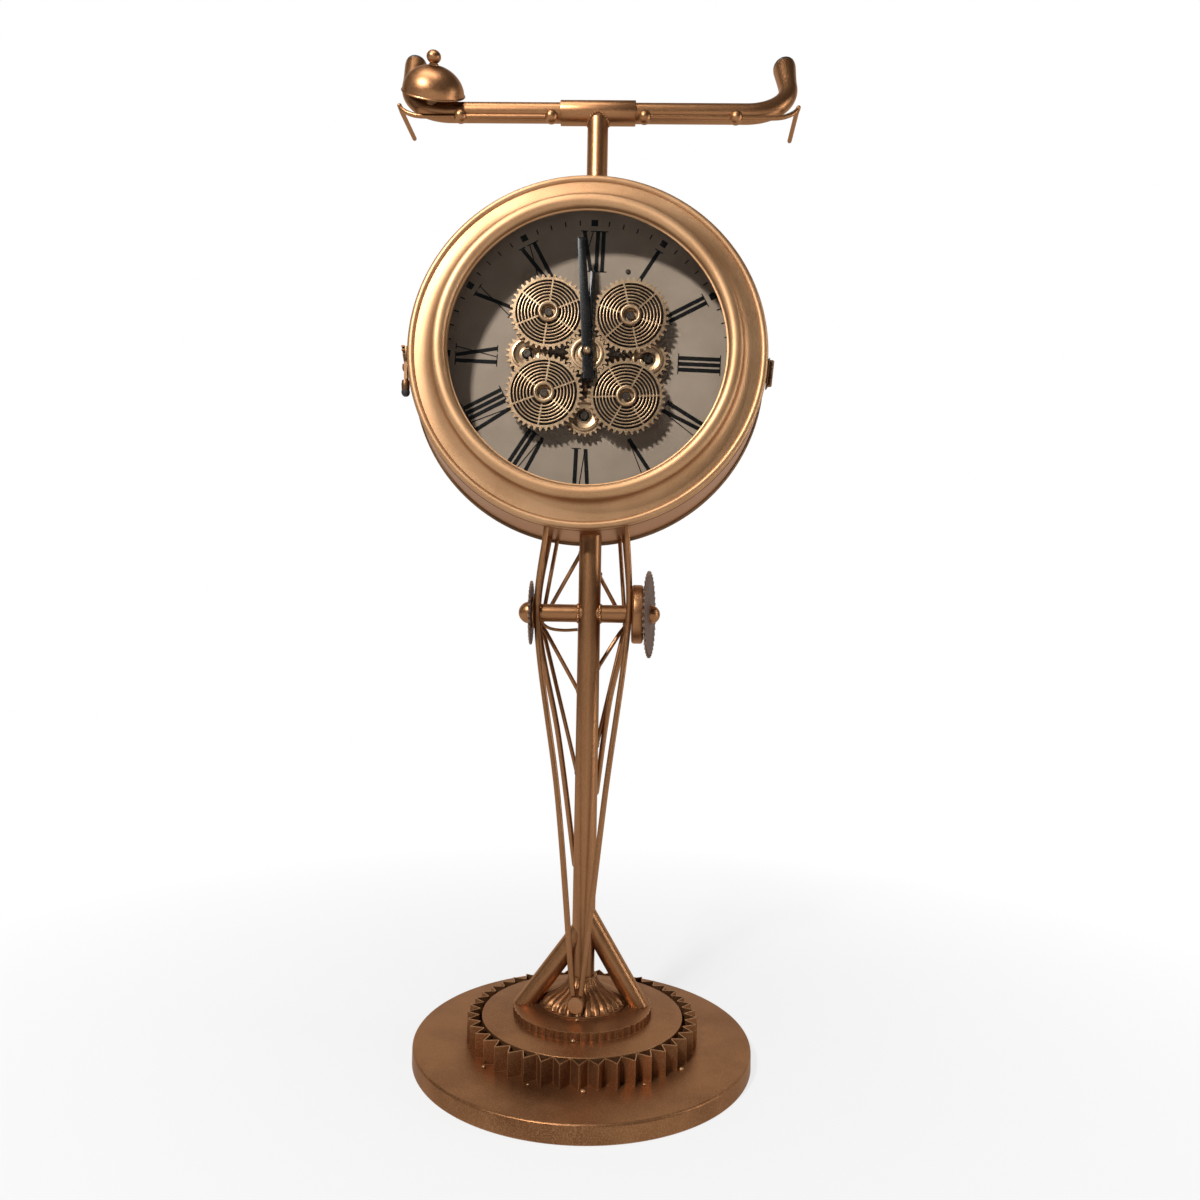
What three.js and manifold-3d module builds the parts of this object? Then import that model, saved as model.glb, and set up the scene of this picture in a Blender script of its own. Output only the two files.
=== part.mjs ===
// A floor clock on a welded stand that borrows its forms from an old bicycle: a handlebar with
// a bell on top, chain wheels on a cross tube, and a gear-shaped foot. The round case has a
// hinged glazed door, and a train of pierced wheels turns in front of the dial.
// Millimetres, +Z up, the viewer stands at -Y. The origin is the middle of the underside.

import * as THREE from "three";
import { mergeVertices } from "three/addons/utils/BufferGeometryUtils.js";
import Module from "manifold-3d";

const wasm = await Module();
wasm.setup();

// Clearances between pieces that meet, and how far a cutting tool runs past its work.
const snug = 0.3;
const running = 0.45;
const overrun = 3;
const weldTolerance = 1e-4;

// Number of flat facets round a full circle.
const caseFacets = 34;
const tubeFacets = 12;
const turnedFacets = 18;
const smallFacets = 8;
const barFacets = 10;
const rodFacets = 6;

// The foot: a round plate, a folded strip round a puck, a scalloped step and a fluted rosette.
const baseRadius = 180.6;
const baseThickness = 18;
const baseSkin = 1.6;
const baseEdge = 3;
const puckRadius = 108.6;
const puckHeight = 23.5;
const stripHeight = 24;
const stripFolds = 42;
const stripDepth = 13;
const stripWall = 2.8;
const stepRadius = 75;
const stepHeight = 9;
const scallops = 42;
const scallopDepth = 1.4;
const rosetteRadius = 43;
const rosetteHeight = 29;
const rosetteBrim = 46.5;
const rosetteBrimHeight = 2;
const rosetteFlutes = 20;
const fluteShare = 0.09;
const rosetteRadiusShares = [1, 0.95, 0.66, 0.43, 0.36];
const rosetteHeightShares = [0, 0.16, 0.5, 0.8, 1];

// The pole, its two legs and the lug that points forward from its foot.
const poleRadius = 12.5;
const legRadius = 11;
const legLeftReach = 61;
const legLeftTop = 132;
const legRightReach = 59.9;
const legRightTop = 150;
const lugRadius = 8.5;
const lugReach = 45;
const lugHeight = 64.5;
const lugTurn = THREE.MathUtils.degToRad(-8.3);

// The cross tube and the pieces on its two ends.
const armRadius = 10;
const armHeight = 475.5;
const armLeftReach = 64;
const flangeRadius = 18;
const flangeThickness = 2.4;
const sprocketRadius = 36;
const sprocketThickness = 2;
const sprocketTeeth = 24;
const sprocketToothHeight = 4;
const leftCapRadius = 12.4;
const hubInner = 47.6;
const hubWidth = 12.6;
const hubRadius = 33;
const hubRound = 3.5;
const hubDish = 2;
const chainringReach = 66.6;
const chainringRadius = 49;
const chainringThickness = 2;
const chainringTeeth = 32;
const chainringToothHeight = 5;
const chainringTurn = THREE.MathUtils.degToRad(-8);
const spacerRadius = 12;
const rightCapRadius = 10.5;

// The thin rods that brace the stand. Each runs from the case past the cross tube to a foot. The
// stout ones lie against the flange on the left and the hub on the right. A bow above zero leans in.
const stoutRodRadius = 3.2;
const thinRodRadius = 2.4;
const rodSteps = 9;
const rodLeftReach = armLeftReach - flangeThickness - snug - stoutRodRadius;
const rodRightReach = hubInner - snug - stoutRodRadius;
const frontRodLeftInset = 10;
const frontRodRightInset = 4;
const frontRodTopForward = 26;
const frontRodLeftBow = 4;
const frontRodRightBow = 1;
const frontRodSpread = 4.2;
const frontRodFootBack = 7;
const rearRodLeftInset = 11;
const rearRodRightInset = 5;
const rearRodTopBack = 24;
const rearRodLeftBow = -2.5;
const rearRodRightBow = -3.5;
const middleRodLeftInset = 20;
const middleRodRightInset = 11;
const middleRodTopBack = 30;
const thinRodElbowInset = 3;
const thinRodElbowDrop = 11;

// The left and the right rods' feet, as shares of the cross tube's height, and the diagonals'
// tops, as shares of the case's height above the tube.
const rearFootShares = [0.4122, 0.5804];
const middleFootShares = [0.6246, 0.6898];
const diagonalFootShares = [0.816, 0.8728];
const diagonalTopShares = [0.241, 0.1508];

// The round case, a little to the left of the pole. Depths are measured from the pole's axis.
const caseAboveArm = 288.5;
const caseHeight = armHeight + caseAboveArm;
const caseOffset = -7;
const caseFrontRadius = 199.5;
const caseFlare = 5.5;
const caseBackRadius = caseFrontRadius + caseFlare;
const rimRoll = 2;
const caseRimRadius = caseBackRadius + rimRoll;
const caseWall = 1.8;
const seam = 30;
const caseBack = 38.5;
const rimWidth = 5;
const lipWidth = 4.5;
const coverThickness = 1.6;
const coverInset = 4;

// The door: a ring with a rolled edge, a cove and a raised bead round the glass.
const doorInset = 0.5;
const doorRadius = caseFrontRadius - doorInset;
const doorFlange = 8;
const doorRoll = 4.5;
const doorWall = 2.6;
const beadInset = 29;
const beadWidth = 15.5;
const beadOuter = doorRadius - beadInset;
const beadInner = beadOuter - beadWidth;
const beadRise = 8;
const beadForward = 22;
const coveFloorShare = 0.12;
const sightLip = 2.5;
const glassLap = 2;
const glassSight = beadInner - sightLip;
const glassRadius = beadInner + glassLap;
const glassThickness = 3;
const glassSetback = 10;
const doorGap = 0.5;

// The door's hinge and its latch.
const hingeDrop = THREE.MathUtils.degToRad(6);
const knuckleRadius = 3.2;
const knuckleLength = 9.4;
const pinRadius = 1.3;
const leafThickness = 1.4;
const leafDepth = 9;
const leafOffset = 1.5;
const hingeStandoff = 4.1;
const latchDrop = THREE.MathUtils.degToRad(-2.35);
const latchPadRadius = 6;
const latchPadRise = 1.6;
const latchPivotBack = 8;
const latchPivotDrop = 8;
const latchPinRadius = 2;
const latchHeadRadius = 4;
const latchHeadThickness = 1.6;
const leverThickness = 3.4;
const leverWidth = 8;
const leverReach = 16;
const leverTail = 14.6;
const handleWidth = 10;
const handleLength = 12;
const handleThickness = 6;
const tipLength = 6;
const keeperWidth = 6.5;
const keeperHeight = 10;
const keeperPegRadius = 1.7;

// The dial, the movement behind it and the train in front of it.
const dialFace = 8;
const dialSheet = 1.5;
const dialHole = 6;
const trainTurn = THREE.MathUtils.degToRad(2);
const movementSize = 58;
const movementDepth = 17;
const spindleRadius = 5;
const spindleBore = 4;
const spindleReach = 29.4;
const spindleNutRadius = 7.5;
const spindleNutThickness = 2;
const bridgeSheet = 2.5;
const bridgeArm = 9;
const pinionStandoff = 4.2;
const pinionThickness = 3.5;
const wheelStandoff = 5.5;
const wheelThickness = 3;
const wheelReach = 46;
const wheelTeeth = 40;
const centerTeeth = 22;
const pinionTeeth = 28;
const idlerTeeth = 22;
const idlerReach = 68;
const addendumShare = 0.72;
const dedendumShare = 1.05;
const bossOuter = 10.2;
const bossInner = 7.2;
const bossRise = 3;
const bossRecess = 1.4;
const hubRodRadius = 7.4;
const boreRadius = 2.9;
const postRadius = 2.3;
const postHeadRadius = 4.8;
const postHeadThickness = 1.5;
const shoulderRadius = 4.8;
const filigreeRadius = 35.6;
const filigreeRib = 3;
const filigreeSpoke = 2.2;
const filigreeRings = 1;
const filigreeSectors = 8;
const slotSteps = 1;
const idlerDishOuter = 16;
const idlerDishInner = 13.6;
const idlerDishRise = 1.2;
const centerRingRise = 1.4;

// The hands.
const minuteLength = 130;
const minuteTail = 31;
const minuteTipWidth = 8.4;
const minuteTailWidth = 12.4;
const minuteBack = 34.6;
const hourLength = 93;
const hourTail = 20;
const hourTipWidth = 5.6;
const hourTailWidth = 9;
const hourBack = 31.2;
const handSheet = 1.3;
const hourTubeRadius = 3.5;
const hourTubeBore = 2.45;
const arborRadius = 2;
const tubeInsert = 11;
const handNutRadius = 4.4;
const handNutRise = 5.6;
const minuteAngle = THREE.MathUtils.degToRad(-3.8);
const hourAngle = THREE.MathUtils.degToRad(3.1);

// The handlebar on its stem.
const stemRadius = 12;
const barAboveCase = 297;
const barHeight = caseHeight + barAboveCase;
const barRadius = 12;
const barStraight = 172;
const barBend = 54;
const barRise = THREE.MathUtils.degToRad(63);
const barEnd = 43.5;
const barSteps = 22;
const clampRadius = 14.3;
const clampLength = 87.5;
const gripRadius = 14.2;
const gripLength = 30;
const plugRadius = 15.1;
const plugRim = 3.5;
const plugRise = 7;

// The bent rods along the bar, with their balls and the levers that point back.
const brakeRodRadius = 2.65;
const brakeBallRadius = 7.7;
const brakeInnerReach = 53.8;
const brakeOuterReach = 158.9;
const brakeBallForward = 13.4;
const brakeBallDrop = 13.8;
const brakeHookClear = 4.6;
const brakeHookReach = barStraight + barBend + brakeHookClear;
const brakeHookRise = 0.5;
const brakeHookRadius = 40;
const brakeLeverForward = 8.5;
const brakeLeverBack = 51.5;
const brakeSteps = 15;

// The bell on the left bend of the bar.
const bellArc = THREE.MathUtils.degToRad(24.4);
const bellForward = THREE.MathUtils.degToRad(42);
const bellRadius = 35.7;
const bellHeight = 28.6;
const bellWall = 1.4;
const bellLip = 1.2;
const bellStandoff = 17.2;
const bellBoltRadius = 4;
const bellNeckRadius = 4.6;
const bellNeckHeight = 1.6;
const bellKnobRadius = 8.2;
const bellKnobHalfHeight = 6.9;

const copper = { color: 0xa8794c, metalness: 0.8, roughness: 0.42 };
const gold = { color: 0xc9a066, metalness: 0.85, roughness: 0.38 };
const darkBronze = { color: 0x5f4430, metalness: 0.75, roughness: 0.5 };
const taupe = { color: 0x8c8072, metalness: 0.1, roughness: 0.7 };
const black = { color: 0x17150f, metalness: 0.2, roughness: 0.5 };
const board = { color: 0x6f4f33, metalness: 0, roughness: 0.9 };
const clear = { color: 0xeef2f2, metalness: 0, roughness: 0.05, transparent: true, opacity: 0.2 };

const clock = new THREE.Group();
const caseGroup = new THREE.Group();
const trainGroup = new THREE.Group();
caseGroup.position.set(caseOffset, 0, caseHeight);
trainGroup.rotation.y = trainTurn;
caseGroup.add(trainGroup);
clock.add(caseGroup);

// Makes a solid of a closed geometry, its faces turned outwards.
function solidFrom(geometry) {
  const loose = geometry.index ? geometry.toNonIndexed() : geometry.clone();
  const bare = new THREE.BufferGeometry();
  bare.setAttribute("position", loose.getAttribute("position"));
  const merged = mergeVertices(bare, weldTolerance);
  const corners = merged.index.array;
  const build = (turn) => {
    const triangles = [];
    for (let i = 0; i < corners.length; i += 3) {
      const [a, b, c] = [corners[i], corners[i + 1 + turn], corners[i + 2 - turn]];
      if (a !== b && b !== c && c !== a) triangles.push(a, b, c);
    }
    return new wasm.Manifold(
      new wasm.Mesh({
        numProp: 3,
        vertProperties: merged.attributes.position.array,
        triVerts: new Uint32Array(triangles),
      }),
    );
  };
  const solid = build(0);
  return solid.volume() < 0 ? build(1) : solid;
}

// Gives a solid's surface back as a flat-shaded geometry.
function geometryFrom(solid) {
  const mesh = solid.getMesh();
  const places = new Float32Array(mesh.numVert * 3);
  for (let i = 0; i < mesh.numVert; i++) {
    places.set(mesh.vertProperties.subarray(i * mesh.numProp, i * mesh.numProp + 3), i * 3);
  }
  const shared = new THREE.BufferGeometry();
  shared.setAttribute("position", new THREE.BufferAttribute(places, 3));
  shared.setIndex(new THREE.BufferAttribute(new Uint32Array(mesh.triVerts), 1));
  const faceted = shared.toNonIndexed();
  faceted.computeVertexNormals();
  return faceted;
}

// Adds a named piece to a group.
function piece(name, solid, finish, group = clock) {
  const mesh = new THREE.Mesh(geometryFrom(solid), new THREE.MeshStandardMaterial(finish));
  mesh.name = name;
  group.add(mesh);
  return mesh;
}

function joined(...solids) {
  return solids.reduce((sum, next) => sum.add(next));
}

// A solid moved by an Object3D's position and rotation.
function placed(solid, { at = [0, 0, 0], turn = [0, 0, 0] }) {
  const holder = new THREE.Object3D();
  holder.position.set(...at);
  holder.rotation.set(...turn);
  holder.updateMatrix();
  return solidFrom(geometryFrom(solid).applyMatrix4(holder.matrix));
}

// A revolved solid from [radius, place along the axis] pairs. The axis letter says which way.
function turned(profile, axis = "z", facets = turnedFacets) {
  const points = profile.map(([radius, along]) => new THREE.Vector2(radius, along));
  const lathe = new THREE.LatheGeometry(points, facets);
  if (axis === "z") lathe.rotateX(Math.PI / 2);
  if (axis === "x") lathe.rotateZ(-Math.PI / 2);
  return solidFrom(lathe);
}

// A solid disc between two places along an axis.
function disc(radius, from, to, axis = "z", facets = turnedFacets) {
  return turned([[0, from], [radius, from], [radius, to], [0, to]], axis, facets);
}

// A ring between two radii and two places along an axis.
function ring(inner, outer, from, to, axis = "z", facets = turnedFacets) {
  return turned([[inner, from], [outer, from], [outer, to], [inner, to], [inner, from]], axis, facets);
}

// A round bar between two points.
function bar(from, to, radius, facets = tubeFacets) {
  const [start, end] = [new THREE.Vector3(...from), new THREE.Vector3(...to)];
  const along = end.clone().sub(start);
  const cylinder = new THREE.CylinderGeometry(radius, radius, along.length(), facets);
  const up = new THREE.Vector3(0, 1, 0);
  cylinder.applyQuaternion(new THREE.Quaternion().setFromUnitVectors(up, along.clone().normalize()));
  cylinder.translate(...start.add(end).multiplyScalar(0.5).toArray());
  return solidFrom(cylinder);
}

// A round bar that follows a smooth curve through the given points.
function bentBar(points, radius, steps, facets = rodFacets) {
  const corners = [];
  for (let i = 0; i < facets; i++) {
    const angle = (2 * Math.PI * i) / facets;
    corners.push(new THREE.Vector2(radius * Math.cos(angle), radius * Math.sin(angle)));
  }
  const path = Array.isArray(points)
    ? new THREE.CatmullRomCurve3(points.map((point) => new THREE.Vector3(...point)))
    : points;
  return solidFrom(new THREE.ExtrudeGeometry(new THREE.Shape(corners), { steps, extrudePath: path }));
}

// A box from its lowest to its highest corner.
function block(low, high) {
  const size = high.map((value, i) => value - low[i]);
  const box = new THREE.BoxGeometry(...size);
  box.translate(...high.map((value, i) => (value + low[i]) / 2));
  return solidFrom(box);
}

// A flat plate of the given outline. It stands on z = 0, or faces the viewer from y = 0 forward.
function plate(outline, thickness, facing = "up", holes = []) {
  const shape = new THREE.Shape(outline);
  holes.forEach((hole) => shape.holes.push(new THREE.Path(hole)));
  const slab = new THREE.ExtrudeGeometry(shape, { depth: thickness, bevelEnabled: false });
  if (facing === "viewer") slab.rotateX(Math.PI / 2);
  if (facing === "right") slab.rotateY(Math.PI / 2);
  return solidFrom(slab);
}

function pointAt(radius, angle) {
  return new THREE.Vector2(radius * Math.cos(angle), radius * Math.sin(angle));
}

// A closed star: points at the outer radius with valleys at the inner radius between them.
function star(count, outer, inner, phase = 0) {
  const points = [];
  for (let i = 0; i < count; i++) {
    points.push(pointAt(outer, phase + (2 * Math.PI * i) / count));
    points.push(pointAt(inner, phase + (2 * Math.PI * (i + 0.5)) / count));
  }
  return points;
}

// Points along a circular arc in a profile, from one angle to another.
function arc(centerAcross, centerAlong, acrossRadius, alongRadius, from, to, steps) {
  const points = [];
  for (let i = 0; i <= steps; i++) {
    const angle = from + ((to - from) * i) / steps;
    points.push([
      centerAcross + acrossRadius * Math.cos(angle),
      centerAlong + alongRadius * Math.sin(angle),
    ]);
  }
  return points;
}

// Heights that stack up from the floor.
const puckTop = baseThickness + puckHeight;
const stepTop = puckTop + stepHeight;
const brimTop = stepTop + rosetteBrimHeight;

// The outside radius of the case at a place along its depth, front to back.
function caseRadiusAt(y) {
  const share = (y + seam) / (caseBack - rimWidth + seam);
  return caseFrontRadius + (caseBackRadius - caseFrontRadius) * share;
}

// The outside of the case as one filled solid, grown by a clearance, to trim what meets it.
function caseEnvelope(clearance) {
  const profile = [
    [0, -seam - overrun],
    [caseFrontRadius + clearance, -seam - overrun],
    [caseFrontRadius + clearance, -seam],
    [caseRadiusAt(caseBack - rimWidth) + clearance, caseBack - rimWidth],
    [0, caseBack - rimWidth],
  ];
  return placed(turned(profile, "y", caseFacets), { at: [caseOffset, 0, caseHeight] });
}

function grownPole(clearance) {
  return disc(poleRadius + clearance, 0, caseHeight, "z", tubeFacets);
}

function makeBase() {
  const skinRadius = baseRadius - baseSkin;
  const profile = [
    [0, baseThickness],
    [baseRadius - baseEdge, baseThickness],
    [baseRadius, baseThickness - baseEdge],
    [baseRadius, 0],
    [skinRadius, 0],
    [skinRadius, baseThickness - baseEdge],
    [skinRadius - baseEdge, baseThickness - baseSkin],
    [0, baseThickness - baseSkin],
  ];
  piece("base_shell", turned(profile, "z", caseFacets), copper);
  const core = skinRadius - snug;
  const coreTop = baseThickness - baseSkin - snug;
  const coreProfile = [
    [0, 0],
    [core, 0],
    [core, baseThickness - baseEdge - baseSkin],
    [core - baseEdge, coreTop],
    [0, coreTop],
  ];
  piece("base_board", turned(coreProfile, "z", caseFacets), board);
}

function makeGearFoot() {
  piece("base_puck", disc(puckRadius, baseThickness, puckTop, "z", caseFacets), copper);
  const valley = puckRadius + snug + stripWall;
  const outer = star(stripFolds, valley + stripDepth, valley);
  const inner = star(stripFolds, valley + stripDepth - stripWall, valley - stripWall);
  const strip = plate(outer, stripHeight, "up", [inner]);
  piece("base_gear_strip", strip, copper).position.z = baseThickness;
  const step = plate(star(scallops, stepRadius, stepRadius - scallopDepth), stepHeight);
  piece("step_plate", step, copper).position.z = puckTop;
}

// The rosette: a flared skirt on a thin brim. Every second line of the skirt is drawn in, which
// makes the flutes.
function makeRosette() {
  const brim = [
    new THREE.Vector2(0, -rosetteBrimHeight),
    new THREE.Vector2(rosetteBrim, -rosetteBrimHeight),
    new THREE.Vector2(rosetteBrim, 0),
  ];
  const skirt = rosetteRadiusShares.map((share, i) => {
    return new THREE.Vector2(rosetteRadius * share, rosetteHeight * rosetteHeightShares[i]);
  });
  const points = [...brim, ...skirt, new THREE.Vector2(0, rosetteHeight)];
  const lathe = new THREE.LatheGeometry(points, 2 * rosetteFlutes);
  const places = lathe.getAttribute("position");
  for (let i = 0; i < places.count; i++) {
    const drawn = Math.floor(i / points.length) % 2 && i % points.length >= brim.length;
    const draw = drawn ? 1 - fluteShare : 1;
    places.setXYZ(i, places.getX(i) * draw, places.getY(i), places.getZ(i) * draw);
  }
  lathe.rotateX(Math.PI / 2);
  lathe.translate(0, 0, brimTop);
  const lugSpace = lug(lugRadius + snug, 0);
  const body = solidFrom(lathe).subtract(grownPole(snug)).subtract(lugSpace);
  piece("rosette", body, copper);
}

// The lug from the pole's foot, as a bar of the given radius, longer at the end by extra.
function lug(radius, extra) {
  const reach = lugReach + extra;
  const tip = [reach * Math.sin(lugTurn), -reach * Math.cos(lugTurn), lugHeight];
  return bar([0, 0, lugHeight], tip, radius);
}

function makePoleAndLegs() {
  const pole = disc(poleRadius, stepTop, caseHeight, "z", tubeFacets);
  piece("pole", pole.subtract(caseEnvelope(snug)), copper);
  piece("front_lug", lug(lugRadius, 0).subtract(grownPole(snug)), copper);
  const wide = 2 * stepRadius;
  const under = block([-wide, -wide, 0], [wide, wide, stepTop + snug]);
  const brimSpace = disc(rosetteBrim + snug, stepTop, brimTop + snug, "z", 2 * rosetteFlutes);
  const legs = [["leg_left", -legLeftReach, legLeftTop], ["leg_right", legRightReach, legRightTop]];
  for (const [name, reach, top] of legs) {
    const past = (top - stepTop + legRadius) / (top - stepTop);
    const leg = bar([0, 0, top], [reach * past, 0, top - (top - stepTop) * past], legRadius);
    piece(name, leg.subtract(grownPole(snug)).subtract(under).subtract(brimSpace), copper);
  }
}

// A disc with pointed teeth, edge on to the viewer, on the cross tube's axis.
function toothedDisc(radius, teeth, toothHeight, thickness, bore) {
  const hole = [];
  for (let i = 0; i < smallFacets; i++) hole.push(pointAt(bore, (-2 * Math.PI * i) / smallFacets));
  return plate(star(teeth, radius, radius - toothHeight), thickness, "right", [hole]);
}

function makeCrossTube() {
  const start = poleRadius / 2;
  const flangeFrom = -armLeftReach;
  const left = joined(
    bar([flangeFrom, 0, armHeight], [-start, 0, armHeight], armRadius),
    placed(disc(flangeRadius, flangeFrom, flangeFrom + flangeThickness, "x"), { at: [0, 0, armHeight] }),
  );
  piece("cross_arm_left", left.subtract(grownPole(snug)), copper);
  const right = bar([start, 0, armHeight], [hubInner - snug, 0, armHeight], armRadius);
  piece("cross_arm_right", right.subtract(grownPole(snug)), copper);
}

function makeLeftEnd() {
  const sprocketFace = -armLeftReach - snug;
  const sprocket = toothedDisc(
    sprocketRadius, sprocketTeeth, sprocketToothHeight, sprocketThickness, armRadius / 2,
  );
  const mesh = piece("left_sprocket", sprocket, darkBronze);
  mesh.position.set(sprocketFace - sprocketThickness, 0, armHeight);
  const capFace = sprocketFace - sprocketThickness - snug;
  const dome = arc(0, 0, leftCapRadius, -leftCapRadius, 0, Math.PI / 2, 3);
  const cap = turned([[0, 0], ...dome], "x");
  piece("left_cap", cap, copper).position.set(capFace, 0, armHeight);
}

function makeRightEnd() {
  const outer = hubInner + hubWidth;
  const profile = [
    [0, hubInner],
    [hubRadius - hubRound, hubInner],
    [hubRadius, hubInner + hubRound],
    [hubRadius, outer - hubRound],
    [hubRadius - hubRound, outer],
    [hubRadius - 3 * hubRound, outer - hubDish],
    [spacerRadius, outer - hubDish],
    [spacerRadius, chainringReach],
    [0, chainringReach],
  ];
  const ringBack = chainringThickness / 2 + snug;
  const beyond = block(
    [-ringBack, -chainringRadius, -chainringRadius],
    [hubWidth * 2, chainringRadius, chainringRadius],
  );
  const trim = placed(beyond, { at: [chainringReach, 0, 0], turn: [0, 0, chainringTurn] });
  piece("right_hub", turned(profile, "x").subtract(trim), copper).position.z = armHeight;
  const turnedEnd = new THREE.Group();
  turnedEnd.position.set(chainringReach, 0, armHeight);
  turnedEnd.rotation.z = chainringTurn;
  clock.add(turnedEnd);
  const wheel = toothedDisc(
    chainringRadius, chainringTeeth, chainringToothHeight, chainringThickness, armRadius / 2,
  );
  piece("chainring", wheel, darkBronze, turnedEnd).position.x = -chainringThickness / 2;
  const dome = arc(0, 0, rightCapRadius, rightCapRadius, 0, Math.PI / 2, 3);
  const cap = turned([[0, 0], ...dome], "x");
  piece("right_cap", cap, copper, turnedEnd).position.x = ringBack;
}

// A bracing rod trimmed where it meets the case, the pole and the lug.
function braceRod(name, rod) {
  const lugSpace = lug(lugRadius + snug, overrun);
  const trimmed = rod.subtract(caseEnvelope(snug)).subtract(grownPole(snug)).subtract(lugSpace);
  piece(name, trimmed, copper);
}

// A stout rod: from its top past the cross tube, then in a slight bow to its foot.
function stoutRod(top, waist, foot, bow) {
  const middle = waist.map((value, i) => (value + foot[i]) / 2);
  middle[0] -= Math.sign(waist[0]) * bow;
  return bentBar([top, waist, middle, foot], stoutRodRadius, rodSteps);
}

// A thin rod: two straight lengths that meet in an elbow behind the cross tube.
function thinRod(top, waist, foot) {
  const elbow = new THREE.SphereGeometry(thinRodRadius, rodFacets, rodFacets / 2);
  elbow.translate(...waist);
  return joined(
    bar(top, waist, thinRodRadius, rodFacets),
    bar(waist, foot, thinRodRadius, rodFacets),
    solidFrom(elbow),
  );
}

// The height of the underside of the case at a place across, a little inside its wall.
function caseUnderside(x) {
  return caseHeight - Math.sqrt(caseFrontRadius ** 2 - (x - caseOffset) ** 2) + caseWall;
}

function makeBraceRods() {
  const front = armRadius + stoutRodRadius + snug;
  const back = armRadius + snug;
  const side = poleRadius + snug;
  const left = {
    front: [frontRodLeftInset, frontRodLeftBow],
    rear: [rearRodLeftInset, rearRodLeftBow],
    middle: middleRodLeftInset,
  };
  const right = {
    front: [frontRodRightInset, frontRodRightBow],
    rear: [rearRodRightInset, rearRodRightBow],
    middle: middleRodRightInset,
  };
  const ends = [["left", -1, rodLeftReach, left], ["right", 1, rodRightReach, right]];
  for (const [i, [word, sign, reach, sizes]] of ends.entries()) {
    const rearFoot = rearFootShares[i] * armHeight;
    const middleFoot = middleFootShares[i] * armHeight;
    const diagonalFoot = diagonalFootShares[i] * armHeight;
    const diagonalTop = armHeight + diagonalTopShares[i] * caseAboveArm;
    const topAt = (inset, y) => {
      const x = sign * (reach - inset);
      return [x, y, caseUnderside(x)];
    };
    const lugTipX = (lugReach - frontRodFootBack) * Math.sin(lugTurn);
    const [frontInset, frontBow] = sizes.front;
    braceRod("front_rod_" + word, stoutRod(
      topAt(frontInset, -frontRodTopForward),
      [sign * reach, -front, armHeight],
      [lugTipX + sign * frontRodSpread, frontRodFootBack - lugReach, lugHeight + lugRadius],
      frontBow,
    ));
    const rear = back + stoutRodRadius;
    const stoutSeat = (side + stoutRodRadius) * Math.SQRT1_2;
    const [rearInset, rearBow] = sizes.rear;
    braceRod("rear_rod_" + word, stoutRod(
      topAt(rearInset, rearRodTopBack),
      [sign * reach, rear, armHeight],
      [sign * stoutSeat, stoutSeat, rearFoot],
      rearBow,
    ));
    // the thin rods lie one behind the other at the back of the rear rod
    const seat = (side + thinRodRadius) * Math.SQRT1_2;
    const elbowX = sign * (reach - thinRodElbowInset);
    const elbowZ = armHeight - thinRodElbowDrop;
    const behindRear = rear + stoutRodRadius + snug + thinRodRadius;
    const behindDiagonal = behindRear + thinRodRadius + snug + thinRodRadius;
    braceRod("middle_rod_" + word, thinRod(
      topAt(sizes.middle, middleRodTopBack),
      [elbowX, behindDiagonal, elbowZ],
      [sign * seat, seat, middleFoot],
    ));
    braceRod("diagonal_rod_" + word, thinRod(
      [sign * seat, seat, diagonalTop],
      [elbowX, behindRear, elbowZ],
      [sign * seat, seat, diagonalFoot],
    ));
  }
}

function makeCase() {
  const rimFront = caseBack - rimWidth;
  const inner = caseWall;
  const front = -seam + doorGap;
  const profile = [
    [caseFrontRadius, front],
    [caseBackRadius, rimFront],
    [caseRimRadius, (rimFront + caseBack) / 2],
    [caseBackRadius, caseBack],
    [caseBackRadius - inner, caseBack],
    [caseBackRadius - inner, rimFront],
    [caseFrontRadius - inner, front + caseWall],
    [caseFrontRadius - lipWidth, front + caseWall],
    [caseFrontRadius - lipWidth, front],
    [caseFrontRadius, front],
  ];
  piece("case_shell", turned(profile, "y", caseFacets), copper, caseGroup);
  const coverFrom = caseBack - coverInset - coverThickness;
  const cover = disc(caseBackRadius - inner - snug, coverFrom, coverFrom + coverThickness, "y", caseFacets);
  piece("back_cover", cover, darkBronze, caseGroup);
  const dialRadius = caseRadiusAt(-dialFace) - inner - snug;
  const dial = disc(dialRadius, -dialFace, -dialFace + dialSheet, "y", caseFacets);
  const hole = disc(dialHole, -dialFace - overrun, overrun, "y", smallFacets);
  piece("dial_plate", dial.subtract(hole), taupe, caseGroup);
}

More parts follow.
